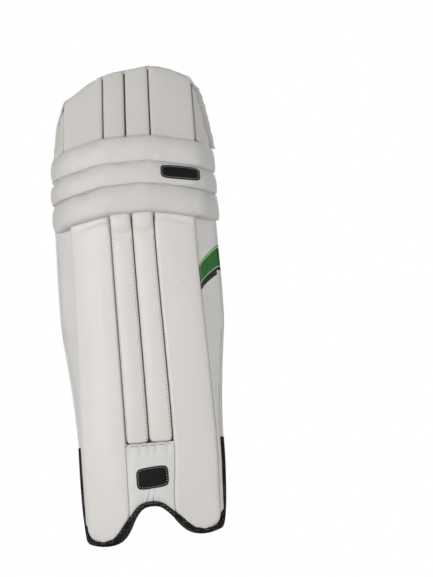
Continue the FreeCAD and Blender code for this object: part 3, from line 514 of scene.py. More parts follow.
def leathercloth(name, colour, shade, roughness=0.48):
    """Coated white cloth: a fine pebbled grain, soft creases and a faint unevenness of tone."""
    material, tree, shader = new_material(name, colour, roughness, Specular_IOR_Level=0.42)
    place = object_place(tree)
    tone = noise_at(tree, place, 9.0, 4.0)
    fine = noise_at(tree, place, 240.0, 2.0)
    share = maths(tree, "MULTIPLY_ADD", tone, 1.6, -0.35)
    mixed = blend_colour(tree, share, shade, colour)
    specks = maths(tree, "GREATER_THAN", noise_at(tree, place, 95.0, 1.0), 0.80)
    mixed = blend_colour(tree, maths(tree, "MULTIPLY", specks, 0.25), mixed, (0.42, 0.40, 0.36))
    tree.links.new(mixed, shader.inputs["Base Color"])
    rough = maths(tree, "MULTIPLY_ADD", fine, 0.16, roughness - 0.08)
    tree.links.new(rough, shader.inputs["Roughness"])
    cells = node(
        tree, "ShaderNodeTexVoronoi", {"Vector": place, "Scale": 1100.0}, feature="SMOOTH_F1"
    ).outputs["Distance"]
    grain = bump(tree, shader, cells, 0.00012, 0.55)
    soft = noise_at(tree, place, 45.0, 2.0)
    bump(tree, shader, soft, 0.0006, 0.6, below=grain)
    return material


def woven(name, colour, shade, pitch=1.3 * MM, roughness=0.75, contrast=1.0):
    """Woven tape: threads over and under, with painted shade in the dips between them."""
    material, tree, shader = new_material(name, colour, roughness, Specular_IOR_Level=0.3)
    place = object_place(tree, scale=(1 / pitch, 1 / pitch, 1 / pitch))
    parts = node(tree, "ShaderNodeSeparateXYZ", {"Vector": place}).outputs
    across = maths(tree, "ADD", parts[0], parts[1])
    warp = maths(tree, "SINE", maths(tree, "MULTIPLY", across, math.pi))
    weft = maths(tree, "SINE", maths(tree, "MULTIPLY", parts[2], math.pi))
    weave = maths(tree, "MULTIPLY_ADD", maths(tree, "MULTIPLY", warp, weft), 0.5, 0.5)
    # painted shade: the weave's dips take the darker shade colour
    share = maths(tree, "MULTIPLY", weave, contrast)
    tree.links.new(blend_colour(tree, share, shade, colour), shader.inputs["Base Color"])
    fuzz = noise_at(tree, object_place(tree), 900.0, 2.0)
    height = maths(tree, "MULTIPLY_ADD", fuzz, 0.4, weave)
    bump(tree, shader, height, 0.0003, 0.8)
    return material


def dark_braid(name):
    """The dark binding: a coarse braid with pale glints between its strands."""
    material, tree, shader = new_material(name, (0.006, 0.006, 0.007), 0.65, Specular_IOR_Level=0.2)
    place = object_place(tree)
    cells = node(
        tree, "ShaderNodeTexVoronoi", {"Vector": place, "Scale": 240.0, "Randomness": 0.2}
    ).outputs["Distance"]
    glints = maths(tree, "LESS_THAN", cells, 0.30)
    colour = blend_colour(tree, glints, (0.005, 0.005, 0.006), (0.10, 0.10, 0.105))
    tree.links.new(colour, shader.inputs["Base Color"])
    bump(tree, shader, cells, 0.0006, 0.9)
    return material


def brushed_lining(name):
    """The grey-brown lining: brushed cloth with a short nap."""
    material, tree, shader = new_material(
        name, (0.36, 0.33, 0.30), 0.9, Specular_IOR_Level=0.2, Sheen_Weight=0.25, Sheen_Roughness=0.5
    )
    place = object_place(tree)
    nap = noise_at(tree, object_place(tree, scale=(1, 1, 0.4)), 700.0, 3.0)
    tone = noise_at(tree, place, 14.0, 3.0)
    share = maths(tree, "MULTIPLY_ADD", nap, 0.6, maths(tree, "MULTIPLY", tone, 0.4))
    colour = blend_colour(tree, share, (0.27, 0.245, 0.22), (0.45, 0.42, 0.385))
    tree.links.new(colour, shader.inputs["Base Color"])
    bump(tree, shader, nap, 0.0005, 0.7)
    return material


def plain(name, colour, shade, scale, roughness):
    """A hidden piece's finish: foam, board or cane."""
    material, tree, shader = new_material(name, colour, roughness)
    pattern = noise_at(tree, object_place(tree), scale, 4.0)
    tree.links.new(blend_colour(tree, pattern, shade, colour), shader.inputs["Base Color"])
    bump(tree, shader, pattern, 0.0002, 0.6)
    return material


def stepped(tree, value, bands):
    """Colour bands: bands is a list of (where it starts, colour), with value from 0 to 1."""
    ramp = node(tree, "ShaderNodeValToRGB", {"Fac": value})
    ramp.color_ramp.interpolation = "CONSTANT"
    elements = ramp.color_ramp.elements
    while len(elements) < len(bands):
        elements.new(1.0)
    for element, (start, colour) in zip(elements, bands):
        element.position = start
        element.color = (*colour, 1)
    return ramp.outputs["Color"]


GREEN = (0.045, 0.42, 0.025)
DARK_GREEN = (0.012, 0.11, 0.016)
BLACK = (0.012, 0.012, 0.013)
PALE = (0.66, 0.65, 0.60)
STRIPES = [
    (0.0, BLACK), (0.04, PALE), (0.41, BLACK), (0.47, PALE), (0.56, BLACK), (0.62, GREEN),
    (0.80, BLACK), (0.85, PALE), (0.965, BLACK),
]


def webbing(name, low, high):
    """Striped strap webbing whose stripes run along the strap, from low to high."""
    material, tree, shader = new_material(name, PALE, 0.7, Specular_IOR_Level=0.3)
    place = object_place(tree)
    parts = node(tree, "ShaderNodeSeparateXYZ", {"Vector": place}).outputs
    rise = maths(tree, "MULTIPLY_ADD", parts[2], 1 / (high - low), -low / (high - low))
    stripes = stepped(tree, rise, STRIPES)
    along = maths(tree, "ADD", parts[0], parts[1])
    warp = maths(tree, "SINE", maths(tree, "MULTIPLY", parts[2], math.pi / (0.8 * MM)))
    weft = maths(tree, "SINE", maths(tree, "MULTIPLY", along, math.pi / (1.1 * MM)))
    weave = maths(tree, "MULTIPLY_ADD", maths(tree, "MULTIPLY", warp, weft), 0.5, 0.5)
    fuzz = noise_at(tree, place, 500.0, 2.0)
    # painted shade: the weave's dips are darkened towards near black, with random fuzz in the tone
    dim = maths(tree, "MULTIPLY_ADD", weave, 0.35, maths(tree, "MULTIPLY", fuzz, 0.5))
    colour = blend_colour(tree, maths(tree, "SUBTRACT", 0.62, dim), stripes, (0.02, 0.02, 0.02))
    tree.links.new(colour, shader.inputs["Base Color"])
    bump(tree, shader, maths(tree, "ADD", weave, fuzz), 0.0003, 0.8)
    return material


def flashed(material):
    """Prints a green and black flash across a finish, where the flash attribute says."""
    tree = material.node_tree
    shader = tree.nodes["Principled BSDF"]
    cloth_colour = shader.inputs["Base Color"].links[0].from_socket
    spot = node(tree, "ShaderNodeAttribute", attribute_name="flash").outputs["Vector"]
    parts = node(tree, "ShaderNodeSeparateXYZ", {"Vector": spot}).outputs
    pale = (0.55, 0.74, 0.47)
    wide = stepped(tree, parts[1], [
        (0.0, BLACK), (0.25, pale), (0.28, DARK_GREEN), (0.90, pale), (0.935, GREEN),
    ])
    cut = stepped(tree, parts[1], [
        (0.0, (0.0, 0.0, 0.0)), (0.13, BLACK), (0.25, pale), (0.28, DARK_GREEN), (0.90, pale),
        (0.935, GREEN),
    ])
    past = maths(tree, "GREATER_THAN", maths(tree, "MULTIPLY_ADD", parts[1], 0.3, parts[0]), 0.78)
    weave = node(
        tree, "ShaderNodeTexVoronoi",
        {"Vector": object_place(tree), "Scale": 430.0, "Randomness": 0.0},
    ).outputs["Distance"]
    in_mesh = maths(
        tree, "MULTIPLY", maths(tree, "GREATER_THAN", parts[1], 0.28),
        maths(tree, "LESS_THAN", parts[1], 0.90),
    )
    fade = maths(tree, "MULTIPLY_ADD", parts[0], -0.8, 1.0)
    glow = maths(tree, "MULTIPLY", maths(tree, "LESS_THAN", weave, 0.43), fade)
    bands = blend_colour(tree, past, wide, cut)
    bands = blend_colour(tree, maths(tree, "MULTIPLY", glow, in_mesh), bands, (0.05, 0.34, 0.03))
    floor = maths(tree, "MULTIPLY", past, 0.13)
    printed = maths(
        tree, "MULTIPLY", maths(tree, "GREATER_THAN", parts[1], floor),
        maths(tree, "LESS_THAN", parts[1], 1.0),
    )
    printed = maths(tree, "MULTIPLY", printed, maths(tree, "GREATER_THAN", parts[0], 0.015))
    tree.links.new(blend_colour(tree, printed, cloth_colour, bands), shader.inputs["Base Color"])
    return material


def printed_black(name):
    """The plain dark badge: a slightly glossy rubbery print."""
    material, tree, shader = new_material(name, (0.004, 0.004, 0.005), 0.6, Specular_IOR_Level=0.2)
    tree_noise = noise_at(tree, object_place(tree), 420.0, 2.0)
    bump(tree, shader, tree_noise, 0.00015, 0.6)
    return material


WHITE = (0.755, 0.732, 0.70)
WHITE_SHADE = (0.70, 0.675, 0.635)
panel_cloth = leathercloth("panel leathercloth", WHITE, WHITE_SHADE)
roll_cloth = leathercloth("knee roll leathercloth", (0.665, 0.645, 0.625), (0.61, 0.595, 0.575), 0.5)
wing_cloth = leathercloth("wing leathercloth", (0.715, 0.70, 0.68), (0.67, 0.655, 0.635))
# the +X wing's cloth carries the printed flash and is lighter than the -X wing's cloth: the extra
# lightness is painted light
flash_cloth_painted_lighter = flashed(
    leathercloth("wing leathercloth with flash", (0.765, 0.75, 0.73), (0.72, 0.705, 0.685))
)
hat_cloth = leathercloth("top hat leathercloth", (0.705, 0.685, 0.65), (0.66, 0.64, 0.605), 0.46)
patch_cloth = leathercloth("instep leathercloth", (0.72, 0.72, 0.695), (0.675, 0.675, 0.65), 0.5)
white_tape = woven("white binding", (0.76, 0.76, 0.75), (0.58, 0.58, 0.57), contrast=0.9)
flash_tape = flashed(
    woven("white binding with flash", (0.76, 0.76, 0.75), (0.58, 0.58, 0.57), contrast=0.9)
)
# tape toned near the top hat's cloth and a little darker than it: partly its own tone, partly painted
# shade
hat_tape_tone_and_shade = woven("top hat binding", (0.66, 0.645, 0.615), (0.55, 0.535, 0.51), contrast=0.7)
black_braid = dark_braid("dark binding")
lining_cloth = brushed_lining("grey lining")
loop_tape = woven("loop tape", (0.66, 0.66, 0.65), (0.48, 0.48, 0.47), pitch=0.9 * MM, roughness=0.95)
thread = woven("white thread", (0.74, 0.73, 0.71), (0.55, 0.54, 0.52), pitch=0.5 * MM)
dark_thread = woven("shadowed thread", (0.20, 0.18, 0.15), (0.10, 0.09, 0.08), pitch=0.5 * MM)
foam = plain("foam", (0.78, 0.74, 0.62), (0.66, 0.61, 0.49), 260, 0.95)
cane = plain("split cane", (0.62, 0.44, 0.22), (0.45, 0.29, 0.12), 60, 0.6)
board = plain("stiff board", (0.72, 0.71, 0.68), (0.6, 0.59, 0.56), 120, 0.7)
badge_print = printed_black("badge print")

for cad_name, cad_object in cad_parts.items():
    cad_finish = foam
    if "cane" in cad_name:
        cad_finish = cane
    elif "board" in cad_name:
        cad_finish = board
    elif "lining" in cad_name:
        cad_finish = lining_cloth
    elif "loop" in cad_name:
        cad_finish = loop_tape
    for slot_number in range(len(cad_object.material_slots)):
        cad_object.material_slots[slot_number].material = cad_finish

SIDES = (("left", -1), ("right", 1))


# --- shin panels ---------------------------------------------------------------------------------
PIECES = {}


def shin_panels():
    for name, side in SIDES:
        for kind, cap in (("wide", 2.6 * MM), ("narrow", 2.2 * MM)):
            piece = copy_of(f"{kind}_cover_{name}", f"{kind}_panel_{name}")
            edit_all(piece, (bpy.ops.mesh.convex_hull, {}))
            tilt = WIDE_TILT if kind == "wide" else 0
            stuff(piece, 4 * MM, cap, Vector((side * math.sin(tilt), -math.cos(tilt), 0)))
            apply(piece, "SMOOTH", factor=0.5, iterations=10)
            shape(piece, soft_top if kind == "wide" else pillow_top)
            shape(piece, full_foot)
            shape(piece, belly)
            finish(piece, panel_cloth, "shin")
            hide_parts(f"{kind}_cover_{name}", f"{kind}_core_{name}")
            PIECES[f"{kind}_{name}"] = piece


def pillow_top(point):
    """A plump pad at the top of a narrow panel, with a dip under it."""
    middle = (abs(point.x) - NARROW / 2) / (NARROW / 2)
    front = smooth(-(point.y - FRONT_Y), -12 * MM, 0) * (1 - 0.5 * middle**4)
    z = point.z - 5 * MM * middle**2
    plump = smooth(z, 434 * MM, 448 * MM) * (1 - smooth(z, 456 * MM, 474 * MM))
    dip = math.exp(-(((z - 434 * MM) / (4.5 * MM)) ** 2))
    return point + Vector((0, -1, 0)) * front * (5.4 * MM * plump - 2.4 * MM * dip)


def full_foot(point):
    """The shin's padding is full down to the foot tape and out over its front."""
    near = 1 - smooth(point.z - foot_height(point.x), 6 * MM, 34 * MM)
    return point + Vector((0, 0, -4.0 * MM * near * smooth(abs(point.x), 20 * MM, 34 * MM)))


def soft_top(point):
    """A wide panel has a faint arched seam under the knee roll."""
    arch = 455 * MM - 10 * MM * smooth(abs(point.x), 40 * MM, 92 * MM)
    front = smooth(-(point.y - FRONT_Y), -30 * MM, -4 * MM)
    dip = math.exp(-(((point.z - arch) / (3 * MM)) ** 2))
    return point + Vector((0, 1, 0)) * front * (1.5 * MM * dip + 1.6 * MM * (point.z > arch))


def wings():
    for name, side in SIDES:
        piece = copy_of(f"wing_{name}", f"side_wing_{name}")
        stuff(piece, 4 * MM, 3.0 * MM, Vector((side * math.sin(WING_TILT), -math.cos(WING_TILT), 0)))
        if side > 0:
            print_flash(piece)
        shape(piece, belly)
        finish(piece, flash_cloth_painted_lighter if side > 0 else wing_cloth, "shin")
        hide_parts(f"wing_{name}")
        PIECES[f"wing_{name}"] = piece


def print_flash(piece):
    """Marks where the flash runs: slanting up and back across the wing."""
    spots = piece.data.attributes.new("flash", "FLOAT_VECTOR", "POINT")
    start = wing_point(0, 0)
    for i, vertex in enumerate(piece.data.vertices):
        p = vertex.co
        along = (p.x - start.x) * math.cos(WING_TILT) + (p.y - start.y) * math.sin(WING_TILT)
        u = along / WING
        top = 382 * MM + 38 * MM * (1 - (1 - min(max(u, -0.1), 1.0)) ** 1.7)
        tall = 36 * MM + 6 * MM * u
        v = 1 - (top - p.z) / tall
        outside = (p.x - start.x) * math.sin(WING_TILT) - (p.y - start.y) * math.cos(WING_TILT)
        shown = p.x > 0 and outside > -8 * MM
        spots.data[i].vector = (u, v if shown else -1.0, 0)


# --- knee rolls ----------------------------------------------------------------------------------
def knee_rolls():
    line = leg_line(-13 * MM, -16.5 * MM, WING + 1 * MM, radii=(0.09, 0.05))
    reach = line.half_length
    levels = (
        ("lower", 466 * MM, 38 * MM),
        ("middle", 504 * MM, 32 * MM),
        ("upper", 536 * MM, 38 * MM),
    )

    def outward(point):
        return Vector((point.x, point.y - SHIN_MIDDLE_Y, 0)).normalized()

    for number, (name, low, tall) in enumerate(levels):

        def place(a, b, c, low=low, tall=tall, number=number):
            out, up = squared(b, c)
            z = low + tall / 2 + up * tall / 2 * 1.05
            end = smooth(abs(a), 0.88, 1.0)
            thick = (26 + 3 * smooth(abs(a), 0.55, 0.8)) * MM * (1 - 0.4 * end)
            depth = thick / 2 + out * thick / 2 + 6 * MM * end
            depth += (-1.4 * MM if c < 0 else 2.2 * MM) * abs(c) ** 2 * (b < 0)
            spot = line.at(a * reach, depth)
            gather = noise.noise(Vector((a * reach * 55, number * 7.3, 0.4)))
            seam = abs(c) ** 3 * (1 - smooth(b, -0.2, 0.8))
            return Vector((
                spot.x,
                spot.y + 1.6 * MM * gather * seam,
                z - droop(spot.x)
                + 1.2 * MM * noise.noise(Vector((a * reach * 28, number * 3.1, 5.0))) * abs(c),
            ))

        piece = block(f"knee_roll_{name}", (96, 6, 8), place)
        stuff(piece, 4 * MM, 2.0 * MM, outward, soften=2)

        def pucker(point, low=low, tall=tall, number=number):
            level = (point.z + droop(point.x) - low) / tall * 2 - 1
            drawn = noise.noise(Vector((point.x * 62, point.y * 62 + 0.37, number * 2.7 + 0.5)))
            fine = noise.noise(Vector((point.x * 150, point.y * 150 + 0.37, number * 5.1 + 0.5)))
            amount = (1.7 * drawn + 0.9 * fine) * MM * smooth(abs(level), 0.1, 0.95)
            wider = 5 * MM * smooth(point.x, 45 * MM, 110 * MM)
            wider += 2.4 * MM * smooth(-point.x, 70 * MM, 110 * MM) * (number == 2)
            return point + outward(point) * amount + Vector((wider, 0, 0))

        shape(piece, pucker)
        finish(piece, roll_cloth, "knee")
        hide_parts(f"knee_roll_cover_{name}", f"knee_roll_core_{name}")
        PIECES[f"roll_{name}"] = piece


# --- instep patch --------------------------------------------------------------------------------
def instep():
    half = NARROW - 0.3 * MM

    def place(a, b, c):
        x = a * half
        low = foot_height(x, 4 * MM) - notch(x)
        high = 139 * MM
        z = low + (high - low) * (c + 1) / 2
        crown = (1 - abs(a) ** 4) * (1 - abs(c) ** 6)
        fold = (1 - abs(math.sin(a * 8.2 + 0.5 + 0.5 * math.sin(a * 5)))) ** 2
        gather = 4.2 * MM * fold * smooth(c, 0.42, 1.0)
        drawn = (1 - abs(math.sin(a * 13 - c * 5 + 0.4))) ** 2
        pull = 4.0 * MM * drawn * smooth(-c, 0.35, 1.0) * math.exp(-(((a - 0.05) / 0.35) ** 2))
        front = FRONT_Y + 5.0 * MM - 4 * MM * crown + gather + pull
        back = FRONT_Y + 20.5 * MM
        y = front + (back - front) * (b + 1) / 2
        return Vector((x + valley_shift(Vector((x, y, z))), y, z))

    piece = block("instep_pad", (60, 4, 44), place)
    edit_all(piece, (bpy.ops.mesh.normals_make_consistent, {"inside": False}))
    apply(piece, "SUBSURF", levels=1, render_levels=1)
    finish(piece, patch_cloth, "shin")
    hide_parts("instep_patch", "instep_foam")
    PIECES["instep"] = piece


# --- top hat -------------------------------------------------------------------------------------
def over_edge(point, foot=2.2 * MM):
    """The top hat's padding reaches over its edge tape, and a little under its foot."""
    c, s = math.cos(LEAN), math.sin(LEAN)
    rise = hat_place(point)[1]
    up = 6.0 * MM * smooth(rise, 25 * MM, 75 * MM) - foot * (1 - smooth(rise, 0, 25 * MM))
    return hat_shape(point + Vector((0, s, c)) * up)


def top_hat():
    lean_c, lean_s = math.cos(LEAN), math.sin(LEAN)
    for name, side in SIDES:
        for kind, tilt in (("narrow", 0.0), ("wide", WIDE_TILT), ("wing", WING_TILT)):
            piece = copy_of(f"hat_{kind}_{name}", f"top_hat_{kind}_{name}")
            front = Vector((side * math.sin(tilt), -math.cos(tilt) * lean_c, math.cos(tilt) * lean_s))
            stuff(piece, 3.5 * MM, 2.2 * MM, front)
            apply(piece, "SMOOTH", factor=0.5, iterations=9)
            shape(piece, over_edge)
            finish(piece, hat_cloth, "top_hat")
            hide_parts(f"hat_{kind}_{name}")
            PIECES[f"hat_{kind}_{name}"] = piece


# --- bindings ------------------------------------------------------------------------------------
def back_edge(z, depth=0.0):
    """How far along the wing its back edge is, at that height and depth."""
    y = FRONT_Y + min(48 + 31.85 * z / (320 * MM), 79.85) * MM
    return (y - wing_point(0, depth).y) / math.sin(WING_TILT)


def facing_at(side, tilt):
    return Vector((side * math.sin(tilt), -math.cos(tilt), 0))


def stations_along(points, outwards):
    """Eases a path's corners and gives each point its way in from the edge."""
    for _ in range(45):
        eased = [
            (points[i - 1] + points[i] * 2 + points[i + 1]) / 4
            if abs(points[i].x) > 84 * MM and points[i].z < 80 * MM else points[i]
            for i in range(1, len(points) - 1)
        ]
        points[1:-1] = eased
    for _ in range(6):
        for values in (points, outwards):
            eased = [
                (values[i - 1] + values[i] * 2 + values[i + 1]) / 4 for i in range(1, len(values) - 1)
            ]
            values[1:-1] = eased
    made = []
    for i, (point, outward) in enumerate(zip(points, outwards)):
        along = (points[min(i + 1, len(points) - 1)] - points[max(i - 1, 0)]).normalized()
        outward = (outward - along * outward.dot(along)).normalized()
        made.append((point, along.cross(outward), outward))
    return made


def notch(x):
    """The notch over the instep is a little shallower than cut."""
    return 4 * MM * math.exp(-((x / (17 * MM)) ** 2))


def foot_edge():
    """Stations round the foot, from the +X heel to the -X heel."""
    points, outwards = [], []
    heel = [142 * MM - 3 * MM * k for k in range(32)]
    line = leg_line(14 * MM, 8 * MM, back_edge(40 * MM, 8 * MM), radii=(0.03, 0.012))
    reach = line.half_length
    for side in (1, -1):
        for z in heel if side > 0 else []:
            at = wing_point(back_edge(z, 8 * MM), 8 * MM)
            points.append(belly(Vector((at.x, at.y, z))))
            outwards.append(facing_at(1, WING_TILT))
        if side > 0:
            count = 110
            for k in range(1, count):
                s = reach * (1 - 2 * k / count)
                at, front = line.at(s), line.at(s, -1)
                z = foot_height(at.x) - notch(at.x)
                points.append(belly(Vector((at.x, at.y, z))))
                outwards.append(Vector((front.x - at.x, front.y - at.y, 0)))
        else:
            for z in reversed(heel):
                at = wing_point(back_edge(z, 8 * MM), 8 * MM)
                points.append(belly(Vector((-at.x, at.y, z))))
                outwards.append(facing_at(-1, WING_TILT))
    return stations_along(points, outwards)


def side_edge(side, low, high, shift=belly):
    """Stations down a wing's back edge, about 5 mm apart."""
    count = round((high - low) / (5 * MM))
    points, outwards = [], []
    for k in range(count + 1):
        z = high - (high - low) * k / count
        at = wing_point(back_edge(z, 7.5 * MM), 7.5 * MM)
        points.append(shift(Vector((side * at.x, at.y, z))))
        outwards.append(facing_at(side, WING_TILT))
    made = stations_along(points, outwards)
    return made if side > 0 else [(p, -inward, out) for p, inward, out in made]


def knee_side(point):
    """The knee's tapes follow the rolls, which are fuller on the outer side."""
    return point + Vector((-1 * MM if point.x < 0 else 5 * MM, 0, 0))


def bindings():
    foot = foot_edge()
    piece = ribbon(
        "foot_edge_tape", foot, 7.0 * MM,
        lambda edge: 26 * MM - 13 * MM * smooth(abs(edge.x), 80 * MM, 96 * MM),
    )
    finish(piece, black_braid, "shin")
    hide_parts("foot_binding", "heel_binding_left", "heel_binding_right")
    PIECES["foot_tape"] = piece
    for name, side in SIDES:
        stations = side_edge(side, 142 * MM, 472 * MM)
        piece = ribbon(f"side_edge_tape_{name}", stations, 9 * MM, 12 * MM)
        if side > 0:
            print_flash(piece)
        finish(piece, flash_tape if side > 0 else white_tape, "shin")
        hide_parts(f"side_binding_{name}")
        PIECES[f"side_tape_{name}"] = piece
        stations = side_edge(side, 473 * MM, KNEE_TOP + 1 * MM, shift=knee_side)
        piece = ribbon(f"knee_edge_tape_{name}", stations, 10 * MM, 12 * MM)
        finish(piece, white_tape, "knee")
        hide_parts(f"knee_binding_{name}")
        PIECES[f"knee_tape_{name}"] = piece
    for cad_name in ("hat_binding_top", "hat_binding_left", "hat_binding_right"):
        piece = copy_of(cad_name, cad_name.replace("binding", "edge_tape"))
        apply(piece, "REMESH", mode="VOXEL", voxel_size=2.2 * MM, adaptivity=0)
        apply(piece, "SMOOTH", factor=0.6, iterations=4)
        if cad_name.endswith("top"):
            shape(piece, behind_panels)
        shape(piece, hat_shape)
        finish(piece, hat_tape_tone_and_shade, "top_hat")
        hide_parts(cad_name)
        PIECES[cad_name] = piece


def behind_panels(point):
    """Draws the top hat's upper tape back behind its panels."""
    c, s = math.cos(LEAN), math.sin(LEAN)
    depth = hat_place(point)[0] - 12 * MM * smooth(abs(point.x), 36 * MM, 90 * MM)
    back = max(0.0, 1 - depth / (21 * MM)) * 6 * MM
    back *= 1 - smooth(abs(point.x), 78 * MM, 92 * MM)
    up = 0.6 * MM - 4.5 * MM * smooth(abs(point.x), 84 * MM, 95 * MM)
    return point + Vector((0, c, -s)) * back + Vector((0, s, c)) * up


# --- linings and inner padding -------------------------------------------------------------------
def quilt(along, z):
    """Depth of the quilting at a place on a lining: diamonds about 30 mm across."""
    a = math.sin((along + z) * math.pi / (30 * MM))
    b = math.sin((along - z) * math.pi / (30 * MM))
    return 1.3 * MM * (1 - math.exp(-6 * abs(a * b)))


def linings():
    for name, body, low, high, depth, end in (
        ("shin", "shin", None, SHIN_TOP - 1 * MM, LINING_DEPTH, WING - 2 * MM),
        ("knee", "knee", SHIN_TOP + 1 * MM, KNEE_TOP - 1 * MM, 19.6 * MM, WING - 7.5 * MM),
    ):
        line = leg_line(depth + 1.6 * MM, WING_LINING + 1.6 * MM, end, radii=(0.06, 0.012))
        reach = line.half_length

        def place(
            u, v, line=line, reach=reach, low=low, high=high, end=end, shin=(name == "shin")
        ):
            along = (u - 0.5) * 2 * reach
            x = line.at(along).x
            bottom = foot_height(x, 8 * MM) - notch(x) if shin else low
            z = bottom + v * (high - bottom)
            if shin and abs(along) > reach - end:
                kept = min(1, (back_edge(z, 16 * MM) - 4 * MM) / end)
                along = math.copysign(reach - end + (abs(along) - reach + end) * kept, along)
            spot = line.at(along, quilt(along, z))
            return Vector((spot.x, spot.y, z))

        piece = grid(f"{name}_quilted_lining", 110, 120 if name == "shin" else 40, place)
        apply(piece, "SOLIDIFY", thickness=2.2 * MM, offset=0)
        finish(piece, lining_cloth, body)
        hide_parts(f"{name}_lining")
    piece = copy_of("hat_lining", "top_hat_lining")
    apply(piece, "REMESH", mode="VOXEL", voxel_size=2.2 * MM, adaptivity=0)
    apply(piece, "SMOOTH", factor=0.6, iterations=4)
    shape(piece, lambda point: over_edge(point, 0.0))
    finish(piece, lining_cloth, "top_hat")
    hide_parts("hat_lining")
    piece = copy_of("hat_board", "top_hat_board")
    apply(piece, "REMESH", mode="VOXEL", voxel_size=1.4 * MM, adaptivity=0)
    forward = Vector((0, -math.cos(LEAN), math.sin(LEAN))) * 1.2 * MM
    shape(piece, lambda point: hat_shape(point + forward))
    finish(piece, lining_cloth, "top_hat")
    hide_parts("hat_board")
    for name, side in SIDES:
        piece = copy_of(f"inner_bolster_{name}", f"shin_bolster_{name}")
        stuff(piece, 4 * MM, 3 * MM, Vector((0, 1, 0)))
        finish(piece, lining_cloth, "shin")
        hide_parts(f"inner_bolster_{name}")
    piece = copy_of("knee_cup", "knee_cushion")
    stuff(piece, 3.5 * MM, 2.5 * MM, Vector((0, 1, 0)))
    finish(piece, lining_cloth, "knee")
    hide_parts("knee_cup")


# --- gussets -------------------------------------------------------------------------------------
def gussets():
    """Soft cloth walls between the shin, the knee rolls and the top hat."""
    for name, low, high, lower, upper, depth, side_depth, end in (
        ("knee", SHIN_TOP - 12 * MM, SHIN_TOP + 12 * MM, "shin", "knee", 7 * MM, 3 * MM, 45 * MM),
        ("hat", KNEE_TOP - 17 * MM, KNEE_TOP + 7 * MM, "knee", "top_hat", 19 * MM, 5 * MM, 43 * MM),
    ):
        line = leg_line(depth, side_depth, end)
        reach = line.half_length

        def place(a, b, c, line=line, reach=reach, low=low, high=high, name=name):
            fold = 1.2 * MM * math.cos(c * math.pi * 2)
            lean = 9 * MM * smooth(c, 0.1, 1.0) if name == "hat" else 0.0
            spot = line.at(a * reach, b * 1.5 * MM + fold)
            z = low + (high - low) * (c + 1) / 2
            if name == "hat":
                z -= droop(spot.x) * 0.9
            return Vector((spot.x, spot.y + lean * 0.5, z))

        piece = block(f"{name}_gusset", (90, 1, 16), place)
        edit_all(piece, (bpy.ops.mesh.normals_make_consistent, {"inside": False}))
        finish(piece, roll_cloth, None)
        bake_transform(piece)


# --- badges --------------------------------------------------------------------------------------
def badges():
    """Plain dark tags: a rounded tab on the middle roll and another on the instep."""
    for name, under, body, centre, wide, tall, slant in (
        ("roll_tag", PIECES["roll_middle"], "knee", (75 * MM, 517 * MM), 54 * MM, 20 * MM, -0.06),
        ("instep_tag", PIECES["instep"], "shin", (4 * MM, 90 * MM), 45 * MM, 30 * MM, 0.04),
    ):

        def place(a, b, c, centre=centre, wide=wide, tall=tall, slant=slant, under=under):
            p, q = rounded(a, c)
            x = centre[0] + p * wide / 2
            z = centre[1] + q * tall / 2 + slant * p * wide
            _, hit, normal, _ = under.ray_cast(Vector((x, -0.3, z)), Vector((0, 1, 0)))
            edge = max(abs(a), abs(c)) ** 6
            return hit + normal * ((0.9 - 0.5 * edge) * MM if b < 0 else -1.0 * MM)

        piece = block(name, (28, 1, 14), place)
        edit_all(piece, (bpy.ops.mesh.normals_make_consistent, {"inside": False}))
        finish(piece, badge_print, body, angle=40)
        PIECES[name] = piece
        border = []
        for k in range(97):
            turn = k / 96 * math.tau
            p, q = math.cos(turn), math.sin(turn)
            full = max(abs(p), abs(q))
            p, q = rounded(p / full, q / full)
            x = centre[0] + p * (wide / 2 - 2.2 * MM)
            z = centre[1] + q * (tall / 2 - 2.2 * MM) + slant * p * (wide - 4.4 * MM)
            _, hit, _, _ = piece.ray_cast(Vector((x, -0.3, z)), Vector((0, 1, 0)))
            border.append(hit)
        sew(f"{name}_stitching", piece, border, thread, body, 2.2 * MM, 1.2 * MM, 0.35 * MM)


# --- stitching -----------------------------------------------------------------------------------
def line_down(x, y, high, low, steps=80):
    path = [Vector((x, y, high + (low - high) * k / steps)) for k in range(steps + 1)]
    return [spot + Vector((valley_shift(spot), 0, 0)) for spot in path]


